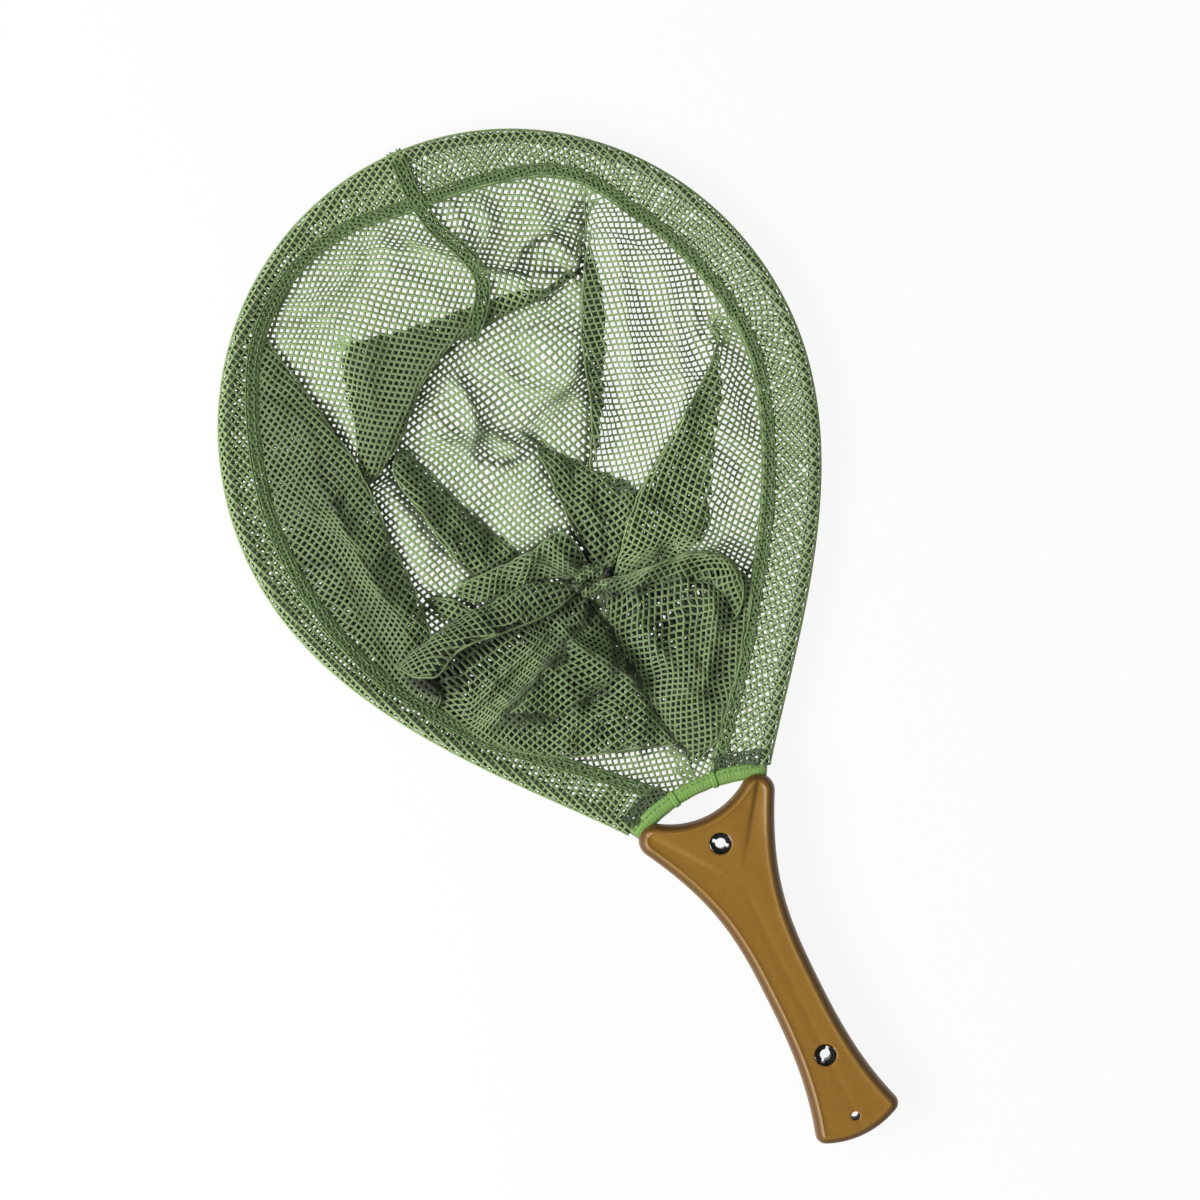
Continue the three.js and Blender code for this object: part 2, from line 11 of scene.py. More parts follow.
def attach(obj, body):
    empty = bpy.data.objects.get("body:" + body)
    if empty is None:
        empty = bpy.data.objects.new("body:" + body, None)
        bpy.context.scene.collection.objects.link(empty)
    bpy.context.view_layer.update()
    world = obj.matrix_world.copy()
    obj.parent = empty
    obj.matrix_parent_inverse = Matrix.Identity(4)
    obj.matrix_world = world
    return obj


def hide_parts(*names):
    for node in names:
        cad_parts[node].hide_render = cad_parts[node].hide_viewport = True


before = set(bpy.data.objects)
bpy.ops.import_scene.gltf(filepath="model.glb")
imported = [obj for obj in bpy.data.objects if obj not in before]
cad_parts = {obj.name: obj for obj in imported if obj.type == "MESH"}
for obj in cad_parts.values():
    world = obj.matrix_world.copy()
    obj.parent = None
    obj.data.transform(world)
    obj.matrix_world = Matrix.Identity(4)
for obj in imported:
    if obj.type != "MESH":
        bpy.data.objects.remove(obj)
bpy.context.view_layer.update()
scene = bpy.context.scene
mm = 0.001
started = time.time()


def report(words):
    print("net scene, %5.1f s: %s" % (time.time() - started, words))


def toLinear(hexColour):
    parts = [int(hexColour[k:k + 2], 16) / 255 for k in (1, 3, 5)]
    return [c / 12.92 if c <= 0.04045 else ((c + 0.055) / 1.055) ** 2.4 for c in parts] + [1.0]


def addNode(tree, kind, values=None, links=None, **settings):
    node = tree.nodes.new(kind)
    for name, value in settings.items():
        setattr(node, name, value)
    for socket, value in (values or {}).items():
        node.inputs[socket].default_value = value
    for socket, source in (links or {}).items():
        tree.links.new(source, node.inputs[socket])
    return node


def newMaterial(name):
    material = bpy.data.materials.new(name)
    material.use_nodes = True
    material.node_tree.nodes.clear()
    return material, material.node_tree


def makePiece(name, points, faces):
    mesh = bpy.data.meshes.new(name)
    mesh.from_pydata([tuple(p) for p in points], [], faces)
    mesh.update()
    mesh.shade_smooth()
    piece = bpy.data.objects.new(name, mesh)
    scene.collection.objects.link(piece)
    return piece


def bakePiece(piece):  # evaluated result becomes a plain mesh, and the modifiers go
    graph = bpy.context.evaluated_depsgraph_get()
    plain = bpy.data.meshes.new_from_object(piece.evaluated_get(graph), preserve_all_data_layers=True, depsgraph=graph)
    old = piece.data
    piece.modifiers.clear()
    piece.data = plain
    bpy.data.meshes.remove(old)
    plain.name = piece.name


def markPoints(piece, name, values):  # one number for each point
    piece.data.attributes.new(name, "FLOAT", "POINT").data.foreach_set("value", values)


def faceArea(piece):
    return sum(polygon.area for polygon in piece.data.polygons)


def triangleCount(piece):
    return sum(len(polygon.vertices) - 2 for polygon in piece.data.polygons)


def startTree(name, source, sizes, result):  # node tree with named inputs, the material last
    tree = bpy.data.node_groups.new(name, "GeometryNodeTree")
    tree.interface.new_socket(source, in_out="INPUT", socket_type="NodeSocketGeometry")
    for size, kind in (*sizes, ("Material", "Material")):
        tree.interface.new_socket(size, in_out="INPUT", socket_type="NodeSocket" + kind)
    tree.interface.new_socket(result, in_out="OUTPUT", socket_type="NodeSocketGeometry")
    return tree, addNode(tree, "NodeGroupInput").outputs


def endTree(tree, shape, material):
    plain = addNode(tree, "GeometryNodeRealizeInstances", links={"Geometry": shape})
    soft = addNode(tree, "GeometryNodeSetShadeSmooth", {"Shade Smooth": True}, {0: plain.outputs[0]})
    dyed = addNode(tree, "GeometryNodeSetMaterial", links={"Geometry": soft.outputs[0], "Material": material})
    addNode(tree, "NodeGroupOutput", links={0: dyed.outputs[0]})


def runTree(piece, tree, values):  # the tree's result becomes the piece's own mesh
    sockets = {item.name: item.identifier for item in tree.interface.items_tree if item.in_out == "INPUT"}
    modifier = piece.modifiers.new(tree.name, "NODES")
    modifier.node_group = tree
    for name, value in values.items():
        modifier[sockets[name]] = value
    bakePiece(piece)


# Camera straight over the net on a long lens, turned so that the handle runs to the lower right
viewing = {"height": 2.6, "over": 0.011, "span": 0.6, "centre": (0.0, 0.026), "turn": -26.37, "farEnd": 20}
camera = bpy.data.objects.new("camera", bpy.data.cameras.new("camera"))
camera.data.lens = camera.data.sensor_width * viewing["height"] / viewing["span"]
camera.data.clip_end = viewing["farEnd"]
camera.location = (*viewing["centre"], viewing["height"] + viewing["over"])
camera.rotation_euler = (0, 0, math.radians(viewing["turn"]))
scene.collection.objects.link(camera)
scene.camera = camera
scene.view_settings.view_transform = "Standard"
report("camera set")

# Net cloth: polyester yarn, warp knitted to an open diamond mesh
# The yarn is dull and a little hairy, so each strand is soft edged and the cloth looks darker where layers pile up
# Little light gets in between the layers of a fold, and the yarn there is drawn darker to show it
netLook = {"yarn": "#A2BB80", "shade": "#88A367", "patch": 26, "fibre": 0.5}
insideFold = "#262A20"


def knitMaterial(name, yarn, shade, patch, fibre):
    material, tree = newMaterial(name)
    where = addNode(tree, "ShaderNodeTexCoord").outputs["Object"]
    cloud = addNode(tree, "ShaderNodeTexNoise", {"Scale": 1000 / patch, "Detail": 3.0}, {"Vector": where})
    mix = addNode(tree, "ShaderNodeMix", {6: toLinear(shade), 7: toLinear(yarn)},
                  {0: cloud.outputs["Fac"]}, data_type="RGBA")
    # painted shade: the deep mark darkens the yarn towards insideFold
    inner = addNode(tree, "ShaderNodeAttribute", attribute_name="deep")
    dimmed = addNode(tree, "ShaderNodeMix", {7: toLinear(insideFold)}, {0: inner.outputs["Fac"], 6: mix.outputs[2]},
                     data_type="RGBA", blend_type="MULTIPLY")
    fuzz = addNode(tree, "ShaderNodeTexNoise", {"Scale": 1000 / fibre, "Detail": 2.0}, {"Vector": where})
    bump = addNode(tree, "ShaderNodeBump", {"Strength": 0.35, "Distance": 0.0003}, {"Height": fuzz.outputs["Fac"]})
    shader = addNode(tree, "ShaderNodeBsdfPrincipled",
                     {"Roughness": 0.72, "IOR": 1.5, "Sheen Weight": 0.15, "Sheen Roughness": 0.5},
                     {"Base Color": dimmed.outputs[2], "Normal": bump.outputs["Normal"]})
    addNode(tree, "ShaderNodeOutputMaterial", links={"Surface": shader.outputs["BSDF"]})
    return material


netKnit = knitMaterial("polyester net, warp knitted", **netLook)


# Diamond knit over any cloth that has a flat map: a flat strand for every side of every hole, and yarn along the folds
# Strands swell inside a fold, where they stand for the layers below them; all are shares of a hole or a strand
knitShape = {"rowHeight": 0.625, "zigzag": 0.5, "thickness": 0.42, "swell": 0.85}


def buildKnitTree():
    tree, given = startTree("diamond knit", "Cloth", (
        ("Hole spacing", "Float"), ("Strand", "Float"), ("Edge strand", "Float"), ("Flat size", "Float"),
        ("Columns", "Int"), ("Rows", "Int")), "Net")

    def calc(operation, first, second=None):
        node = addNode(tree, "ShaderNodeMath", operation=operation)
        for slot, value in enumerate((first, second)):
            if value is None:
                continue
            if isinstance(value, (int, float)):
                node.inputs[slot].default_value = value
            else:
                tree.links.new(value, node.inputs[slot])
        return node.outputs[0]

    stepX = calc("MULTIPLY", given["Hole spacing"], 0.5)
    stepY = calc("MULTIPLY", given["Hole spacing"], knitShape["rowHeight"])
    grid = addNode(tree, "GeometryNodeMeshGrid", links={
        "Size X": calc("MULTIPLY", calc("SUBTRACT", given["Columns"], 1), stepX),
        "Size Y": calc("MULTIPLY", calc("SUBTRACT", given["Rows"], 1), stepY),
        "Vertices X": given["Columns"], "Vertices Y": given["Rows"]})

    # every second upright side goes, which leaves a brick pattern
    ends = addNode(tree, "GeometryNodeInputMeshEdgeVertices")
    one = addNode(tree, "ShaderNodeSeparateXYZ", links={0: ends.outputs["Position 1"]}).outputs
    two = addNode(tree, "ShaderNodeSeparateXYZ", links={0: ends.outputs["Position 2"]}).outputs
    upright = calc("LESS_THAN", calc("ABSOLUTE", calc("SUBTRACT", one["X"], two["X"])), calc("MULTIPLY", stepX, 0.5))
    column = calc("ROUND", calc("DIVIDE", one["X"], stepX))
    row = calc("ROUND", calc("DIVIDE", calc("MINIMUM", one["Y"], two["Y"]), stepY))
    odd = calc("FLOORED_MODULO", calc("ADD", column, row), 2)
    bricks = addNode(tree, "GeometryNodeDeleteGeometry", links={
        "Geometry": grid.outputs["Mesh"],
        "Selection": calc("GREATER_THAN", calc("MULTIPLY", upright, odd), 0.5)}, domain="EDGE", mode="EDGE_FACE")

    # points step up and down in turn, which makes diamonds, and each finds its place on the cloth
    here = addNode(tree, "ShaderNodeSeparateXYZ",
                   links={0: addNode(tree, "GeometryNodeInputPosition").outputs[0]}).outputs
    turn = calc("FLOORED_MODULO", calc("ADD", calc("ROUND", calc("DIVIDE", here["X"], stepX)),
                                       calc("ROUND", calc("DIVIDE", here["Y"], stepY))), 2)
    zigzag = calc("MULTIPLY", calc("SUBTRACT", 0.5, turn), calc("MULTIPLY", given["Hole spacing"], knitShape["zigzag"]))
    flatX = calc("ADD", calc("DIVIDE", here["X"], given["Flat size"]), 0.5)
    flatY = calc("ADD", calc("DIVIDE", calc("ADD", here["Y"], zigzag), given["Flat size"]), 0.5)
    flatPlace = addNode(tree, "ShaderNodeCombineXYZ", links={"X": flatX, "Y": flatY})
    flatMap = addNode(tree, "GeometryNodeInputNamedAttribute", {"Name": "flat"}, data_type="FLOAT_VECTOR")

    def onCloth(value, kind):
        return addNode(tree, "GeometryNodeSampleUVSurface", links={
            "Mesh": given["Cloth"], "Value": value, "Source UV Map": flatMap.outputs["Attribute"],
            "Sample UV": flatPlace.outputs[0]}, data_type=kind).outputs

    place = onCloth(addNode(tree, "GeometryNodeInputPosition").outputs[0], "FLOAT_VECTOR")
    missed = addNode(tree, "FunctionNodeBooleanMath", links={0: place["Is Valid"]}, operation="NOT")
    kept = addNode(tree, "GeometryNodeDeleteGeometry", links={
        "Geometry": bricks.outputs[0], "Selection": missed.outputs[0]}, domain="POINT", mode="ALL")
    deepMark = addNode(tree, "GeometryNodeInputNamedAttribute", {"Name": "deep"}, data_type="FLOAT")
    deepHere = onCloth(deepMark.outputs["Attribute"], "FLOAT")
    marked = addNode(tree, "GeometryNodeStoreNamedAttribute", {"Name": "deep"}, {
        "Geometry": kept.outputs[0], "Value": deepHere["Value"]}, data_type="FLOAT", domain="POINT")
    normalHere = onCloth(addNode(tree, "GeometryNodeInputNormal").outputs[0], "FLOAT_VECTOR")
    turned = addNode(tree, "GeometryNodeStoreNamedAttribute", {"Name": "lay"}, {
        "Geometry": marked.outputs[0], "Value": normalHere["Value"]}, data_type="FLOAT_VECTOR", domain="POINT")
    laid = addNode(tree, "GeometryNodeSetPosition", links={
        "Geometry": turned.outputs[0], "Position": place["Value"]})

    # strands, and a run of yarn along each fold and cut edge
    halfStrand = calc("MULTIPLY", given["Strand"], 0.5)
    strandRing = addNode(tree, "GeometryNodeCurvePrimitiveQuadrilateral", links={
        "Width": calc("MULTIPLY", given["Strand"], knitShape["thickness"]), "Bottom Height": halfStrand,
        "Top Height": halfStrand}, mode="KITE")
    runs = addNode(tree, "GeometryNodeMeshToCurve", links={"Mesh": laid.outputs[0]})
    layMark = addNode(tree, "GeometryNodeInputNamedAttribute", {"Name": "lay"}, data_type="FLOAT_VECTOR")
    deepest = calc("POWER", deepMark.outputs["Attribute"], 2)
    swollen = addNode(tree, "ShaderNodeMath", {1: knitShape["swell"], 2: 1.0}, {0: deepest}, operation="MULTIPLY_ADD")
    flatRuns = addNode(tree, "GeometryNodeSetCurveNormal", links={
        "Curve": runs.outputs[0], "Normal": layMark.outputs["Attribute"]}, mode="FREE")
    strands = addNode(tree, "GeometryNodeCurveToMesh", {"Fill Caps": True}, {
        "Curve": flatRuns.outputs[0], "Profile Curve": strandRing.outputs["Curve"], "Scale": swollen.outputs[0]})
    edgeMark = addNode(tree, "GeometryNodeInputNamedAttribute", {"Name": "foldLine"}, data_type="FLOAT")
    edges = addNode(tree, "GeometryNodeSeparateGeometry", links={
        "Geometry": given["Cloth"],
        "Selection": calc("GREATER_THAN", edgeMark.outputs["Attribute"], 0.9)}, domain="EDGE")
    edgeRing = addNode(tree, "GeometryNodeCurvePrimitiveCircle", {"Resolution": 5},
                       {"Radius": calc("MULTIPLY", given["Edge strand"], 0.5)})
    edgeRuns = addNode(tree, "GeometryNodeCurveToMesh", {"Fill Caps": True}, {
        "Curve": addNode(tree, "GeometryNodeMeshToCurve", links={"Mesh": edges.outputs[0]}).outputs[0],
        "Profile Curve": edgeRing.outputs["Curve"]})
    both = addNode(tree, "GeometryNodeJoinGeometry")
    tree.links.new(strands.outputs[0], both.inputs[0])
    tree.links.new(edgeRuns.outputs[0], both.inputs[0])
    endTree(tree, both.outputs[0], given["Material"])
    return tree


knitTree = buildKnitTree()


def knitOver(piece, hole, strand, edgeStrand, flatSize, width, length, material):
    runTree(piece, knitTree, {
        "Hole spacing": hole * mm, "Strand": strand * mm, "Edge strand": edgeStrand * mm, "Flat size": flatSize * mm,
        "Columns": 2 * math.ceil(width / hole) + 1,
        "Rows": 2 * math.ceil(length / (hole * knitShape["rowHeight"]) / 2) + 1, "Material": material})


# The bag lies inside the hoop: sheets on the table that run to the gather, with doubled folds laid over them
# Outlines in mm, seen from above; each fold has its free edge, the root that it grows from and the sheet it belongs to
rimLine = [(6, 244), (32, 242), (57, 236), (74, 230), (87, 220), (100, 196), (113, 172), (121, 146), (125, 121),
           (124, 98), (115, 70), (104, 46), (89, 20), (71, -5), (54, -29), (36, -50), (22, -67), (13, -77), (0, -77.5),
           (-13, -77), (-22, -68), (-33, -57), (-53, -39), (-79, -16), (-101, 7), (-114, 34), (-124, 64), (-130, 94),
           (-131, 124), (-127, 150), (-119, 176), (-106, 204), (-92, 226), (-74, 238), (-52, 246), (-27, 250),
           (-10, 246)]
bagSheets = {
    "tip": {"threads": -86, "line": [
        (-150, 118), (-79, 127), (-79, 138), (-75, 156), (-67, 176), (-57, 198), (-35, 193), (-18, 188), (2, 185),
        (20, 182), (44, 178), (74, 177), (82, 201), (88, 225), (95, 300), (-150, 300)]},
    "right": {"threads": 32, "line": [
        (88, 225), (82, 201), (74, 177), (64, 160), (55, 139), (44, 117), (33, 100), (23, 84), (7, 33), (49, 28),
        (64, 34), (71, 47), (82, 64), (94, 86), (104, 104), (112, 119), (160, 124), (160, 300), (95, 300)]},
    "lowerRight": {"threads": -8, "line": [
        (7, 33), (49, 28), (64, 34), (71, 47), (82, 64), (94, 86), (104, 104), (112, 119), (160, 124), (160, -120),
        (0, -120), (0, 33)]},
    "lowerLeft": {"threads": 34, "line": [
        (0, 33), (0, -120), (-160, -120), (-160, 40), (-103, 38), (-60, 44), (-20, 38)]},
    "middle": {"threads": 57, "line": [
        (-150, 118), (-79, 127), (-79, 138), (-75, 156), (-67, 176), (-57, 198), (-35, 193), (-18, 188), (2, 185),
        (20, 182), (44, 178), (74, 177), (64, 160), (55, 139), (44, 117), (33, 100), (23, 84), (7, 33), (0, 33),
        (-20, 38), (-60, 44), (-103, 38), (-160, 40)]},
}
bagFolds = {
    "leftFold": {"sheet": "left", "shaded": 0.42, "order": 1, "turn": -17, "swell": 2.0,
     "free": [(-92, 229), (-89, 206), (-85, 186), (-81, 166), (-79, 146), (-78, 124), (-79, 96), (-81, 71), (-83, 46),
              (-91, 17), (-101, 10)],
     "root": [(-92, 229), (-105, 204), (-118, 176), (-125, 150), (-129, 124), (-128, 94), (-122, 64), (-112, 34),
              (-101, 10)]},
    "tipFold": {"under": "middle", "sheet": "tip", "shaded": 0.4, "order": 1, "turn": -86, "swell": 2.5,
     "free": [(-80, 127), (-56, 137), (-36, 157), (-21, 166), (-1, 172), (19, 172), (44, 173), (66, 176)],
     "root": [(-80, 127), (-79, 138), (-75, 156), (-67, 176), (-57, 198), (-35, 193), (-18, 188), (2, 185), (20, 182),
              (44, 179), (66, 176)]},
    "bandFold": {"sheet": "middle", "order": 1, "turn": 57, "swell": 1.5,
     "free": [(-54, 141), (-69, 131), (-68, 113), (-65, 95), (-61, 77), (-55, 66), (-47, 58), (-34, 56)],
     "root": [(-54, 141), (-48, 121), (-40, 99), (-32, 79), (-24, 66), (-34, 56)]},
    "slimPleat": {"under": "middle", "underTop": ("tip", 178), "sheet": "right", "order": 1,
     "turn": 32, "swell": 0.8,
     "free": [(85, 214), (78, 201), (67, 179), (55, 158), (47, 141), (36, 118), (26, 99), (21, 84)],
     "root": [(85, 214), (83, 201), (76, 176), (68, 156), (59, 136), (48, 116), (37, 101), (29, 88), (21, 84)]},
    "midWedge": {"sheet": "middle", "order": 1, "turn": 57, "swell": 1.5,
     "free": [(2, 121), (2, 91), (2, 61), (3, 34)],
     "root": [(2, 121), (13, 104), (27, 87), (45, 66), (37, 51), (17, 35), (3, 34)]},
    "rightFold": {"under": "right", "sheet": "lowerRight", "shaded": 0.06, "order": 2, "turn": -8, "swell": 2.5,
     "free": [(115, 128), (99, 107), (77, 91), (56, 76), (39, 64), (23, 48), (9, 31)],
     "root": [(115, 128), (106, 106), (95, 86), (82, 64), (71, 47), (64, 34), (49, 28), (30, 27), (9, 31)]},
    "lowerFold": {"sheet": "lowerRight", "order": 1, "turn": -66, "swell": 3.0,
     "free": [(4, 31), (32, 28), (52, 22), (66, 14), (74, 4), (70, -7), (60, -21), (48, -36), (35, -50), (21, -66),
              (6, -69)],
     "root": [(4, 31), (-2, 11), (-1, -19), (1, -46), (6, -69)]},
    "lowerRoll": {"sheet": "lowerRight", "order": 3, "turn": 44, "swell": 3.5,
     "free": [(3, 35), (32, 33), (54, 27), (67, 18), (70, 7), (66, -6), (56, -14)],
     "root": [(3, 35), (7, 24), (29, 20), (46, 15), (54, 8), (57, 0), (56, -14)]},
    "leftSpread": {"sheet": "lowerLeft", "order": 1, "turn": 64, "swell": 2.5,
     "free": [(-104, 10), (-84, -15), (-56, -36), (-36, -44), (-16, -50), (2, -58)],
     "root": [(-104, 10), (-92, 18), (-102, 36), (-70, 42), (-48, 42), (-25, 40), (-2, 34), (-2, 6), (0, -26),
              (2, -58)]},
    "leftFacet": {"sheet": "lowerLeft", "order": 2, "turn": 64, "swell": 3.0,
     "free": [(-78, -8), (-46, 8), (-26, 15), (-14, 20), (-6, 30)],
     "root": [(-78, -8), (-52, -18), (-27, -20), (-7, -14), (-3, 10), (-6, 30)]},
    "leftRoll": {"sheet": "lowerLeft", "shaded": 0.38, "order": 3, "turn": 49, "swell": 2.0,
     "free": [(-106, 41), (-103, 30), (-97, 21), (-88, 15), (-80, 19), (-76, 27), (-57, 27), (-38, 26), (-26, 27),
              (-14, 31), (-3, 37)],
     "root": [(-106, 41), (-87, 47), (-60, 50), (-45, 50), (-25, 50), (-3, 37)]},
    "gatherRoll": {"sheet": "middle", "order": 2, "turn": 4, "swell": 3.0,
     "free": [(-66, 60), (-59, 67), (-34, 65), (-14, 66), (-7, 70), (2, 67), (4, 36)],
     "root": [(-66, 60), (-55, 50), (-35, 48), (-15, 46), (4, 36)]},
    "gatherTail": {"sheet": "middle", "order": 1, "turn": 75, "swell": 1.5,
     "free": [(-80, 68), (-64, 61), (-57, 49), (-38, 45)],
     "root": [(-80, 68), (-77, 54), (-67, 45), (-55, 40), (-38, 45)]},
}
# Crests and valleys that the crumpled cloth keeps: how high, and how far each side runs, left and right of the line
bagRidges = [
    {"line": [(-96, -8), (-65, -1), (-45, 7), (-22, 14)], "high": 13, "left": 6, "right": 26},
    {"line": [(-30, 15), (-16, 8), (-6, -10), (4, -30)], "high": 9, "left": 6, "right": 22},
    {"line": [(-104, 33), (-85, 40), (-60, 34), (-28, 36)], "high": 5, "left": 8, "right": 5},
    {"line": [(-90, 4), (-66, 13), (-46, 18), (-22, 26)], "high": 9, "left": 5, "right": 8},
    {"line": [(-97, 150), (-100, 108), (-96, 70), (-92, 36)], "high": 8, "left": 12, "right": 7},
    {"line": [(-108, 100), (-107, 54), (-103, 30)], "high": -4.5, "left": 5, "right": 5},
    {"line": [(-106, 152), (-107, 130), (-96, 122), (-87, 134)], "high": -3, "left": 3, "right": 4},
    {"line": [(2, 33), (30, 31), (52, 27), (66, 16), (68, -2)], "high": 9, "left": 10, "right": 7},
    {"line": [(8, 20), (14, -2), (19, -26), (21, -52)], "high": 6, "left": 10, "right": 8},
    {"line": [(46, 16), (52, 4), (46, -12), (33, -28), (20, -46)], "high": 6, "left": 7, "right": 8},
    {"line": [(1, 26), (2, -10), (5, -42), (8, -66)], "high": -3, "left": 5, "right": 5},
    {"line": [(-70, 66), (-50, 60), (-25, 58), (-4, 62)], "high": 5, "left": 7, "right": 9},
    {"line": [(-62, 118), (-58, 92), (-50, 70)], "high": 4, "left": 8, "right": 8},
    {"line": [(10, 42), (35, 62), (66, 84), (100, 110)], "high": 5, "left": 6, "right": 14},
    {"line": [(-72, 136), (-44, 154), (-16, 172), (30, 177)], "high": 4, "left": 12, "right": 5},
    {"line": [(-92, 236), (-70, 224), (-46, 222), (-26, 240)], "high": 5.25, "left": 5, "right": 7},
    {"line": [(-62, 244), (-46, 236), (-21, 235), (-6, 222)], "high": 4.5, "left": 6, "right": 4},
    {"line": [(-98, 212), (-69, 208), (-44, 214)], "high": 4.5, "left": 7, "right": 5},
    {"line": [(-12, 240), (4, 217), (18, 199), (46, 185)], "high": 5.25, "left": 7, "right": 4},
    {"line": [(34, 242), (37, 222), (28, 210), (12, 203)], "high": 5.25, "left": 4, "right": 7},
    {"line": [(33, 194), (54, 206), (68, 203), (82, 192)], "high": 4.5, "left": 7, "right": 4},
    {"line": [(92, 200), (82, 165), (68, 125), (48, 86)], "high": 4.5, "left": 6, "right": 9},
    {"line": [(108, 178), (95, 132), (84, 98), (66, 70)], "high": 4.5, "left": 6, "right": 9},
    {"line": [(98, 132), (112, 124), (124, 104)], "high": 4.5, "left": 5, "right": 4},
    {"line": [(-23, 166), (-13, 146), (-15, 127), (-32, 112)], "high": 6, "left": 5, "right": 8},
    {"line": [(2, 160), (14, 135), (30, 127), (52, 136)], "high": 6, "left": 7, "right": 4},
    {"line": [(-12, 112), (10, 118), (26, 122), (46, 118)], "high": 5.25, "left": 4, "right": 6},
    {"line": [(-46, 142), (-31, 127), (-11, 122), (0, 100)], "high": 6, "left": 7, "right": 4},
    {"line": [(-10, 70), (-8, 54), (-1, 28)], "high": 5, "left": 4, "right": 5},
    {"line": [(-26, 63), (-11, 47), (2, 24)], "high": 4, "left": 4, "right": 4},
    {"line": [(24, 48), (11, 38), (0, 24)], "high": 5, "left": 4, "right": 4},
    {"line": [(-25, 34), (-22, 15), (-13, 0)], "high": 4, "left": 5, "right": 4},
]
# Tight creases, where the strands close up and shade one another
bagCreases = [
    {"dark": 0.7, "line": [(38, 193), (42, 199), (51, 201), (60, 199), (65, 190), (66, 180)]},
    {"dark": 0.72, "line": [(20, 203), (27, 196), (35, 191), (48, 184), (61, 178)]},
    {"dark": 0.5, "line": [(59, 200), (69, 203), (78, 209)]},
    {"dark": 0.4, "line": [(21, 245), (22, 230), (24, 211)]},
    {"dark": 0.36, "line": [(30, 235), (35, 225), (39, 214)]},
    {"dark": 0.58, "line": [(-14, 158), (-12, 143), (-14, 131), (-8, 119)]},
    {"dark": 0.5, "line": [(6, 122), (20, 125), (38, 128)]},
    {"dark": 0.36, "line": [(20, 166), (35, 163), (50, 149)]},
    {"dark": 0.66, "line": [(-12, 157), (-14, 136), (-18, 127), (-25, 119)]},
    {"dark": 0.66, "line": [(-15, 128), (-6, 123), (-3, 113)]},
    {"dark": 0.72, "line": [(-25, 119), (-20, 112), (-14, 109), (-4, 108)]},
    {"dark": 0.4, "line": [(-35, 156), (-32, 145), (-25, 121)]},
    {"dark": 0.4, "line": [(-92, 223), (-73, 217), (-59, 218)]},
    {"dark": 0.6, "line": [(113, 150), (108, 137), (103, 122)]},
    {"dark": 0.22, "line": [(-107, 192), (-96, 181), (-91, 163), (-100, 140), (-99, 124)]},
    {"dark": 0.25, "line": [(-132, 111), (-110, 102), (-106, 77), (-108, 64)]},
    {"dark": 0.2, "line": [(-28, 22), (-17, 4), (-10, -10), (0, -11)]},
    {"dark": 0.2, "line": [(-5, 24), (-2, 2), (0, -19), (3, -58), (3, -72)]},
    {"dark": 0.2, "line": [(5, 24), (19, 20), (32, 16), (43, 1), (28, -22), (23, -41)]},
]
bagStrands = {"tip": 1.4, "right": 1.05, "middle": 1.38, "left": 1.3, "lowerRight": 1.3, "lowerLeft": 1.24}
bagCloth = {"step": 4.4, "layer": 1.4, "low": 1.0, "rimHeight": 6.5, "rimSlope": 7.0, "rumple": 2.2, "rumpleSize": 30,
            "hole": 3.7, "foldStrand": 1.1, "gatherAt": (0.0, 37.0), "islandGap": 8, "margin": 10, "seed": 5}


def walk(points, step, closed):  # even steps along a line
    line = list(points) + list(points[:1]) if closed else list(points)
    lengths = [0.0]
    for a, b in zip(line, line[1:]):
        lengths.append(lengths[-1] + (b - a).length)
    count = max(4, round(lengths[-1] / step))
    marks = np.linspace(0, lengths[-1], count, endpoint=False) if closed else np.linspace(0, lengths[-1], count + 1)
    return np.column_stack([np.interp(marks, lengths, [p[k] for p in line]) for k in (0, 1)])


def softLine(points, step, closed=False):  # corners cut twice, then walked at an even step
    line = [Vector(p) for p in points]
    for turn in range(2):
        pairs = list(zip(line, line[1:] + line[:1])) if closed else list(zip(line, line[1:]))
        cut = [a.lerp(b, t) for a, b in pairs for t in (0.22, 0.78)]
        line = cut if closed else [line[0]] + cut[1:-1] + [line[-1]]
    return walk(line, step, closed)


def insideAndDepth(points, loop):
    a, b = loop, np.roll(loop, -1, axis=0)
    side = b - a
    px, py = points[:, None, 0], points[:, None, 1]
    rise = np.where(side[:, 1] == 0, 1e-9, side[:, 1])
    crossed = ((a[:, 1] > py) != (b[:, 1] > py)) & (px < side[:, 0] * (py - a[:, 1]) / rise + a[:, 0])
    return crossed.sum(axis=1) % 2 == 1, distanceTo(points, a, b)


def distanceTo(points, starts, ends):
    side = ends - starts
    px, py = points[:, None, 0], points[:, None, 1]
    along = (px - starts[:, 0]) * side[:, 0] + (py - starts[:, 1]) * side[:, 1]
    along = np.clip(along / np.maximum((side ** 2).sum(axis=1), 1e-9), 0, 1)
    return np.hypot(px - starts[:, 0] - along * side[:, 0], py - starts[:, 1] - along * side[:, 1]).min(axis=1)


def smooth(low, high, values):
    t = np.clip((values - low) / (high - low), 0, 1)
    return t * t * (3 - 2 * t)


def ease(distance, run):  # from 0 at a line to 1 well away from it
    return 1 - np.exp(-distance / run)


ridgeShape = {"step": 3.0, "spread": 1.4, "ends": 0.25, "samples": 13, "fade": 30}


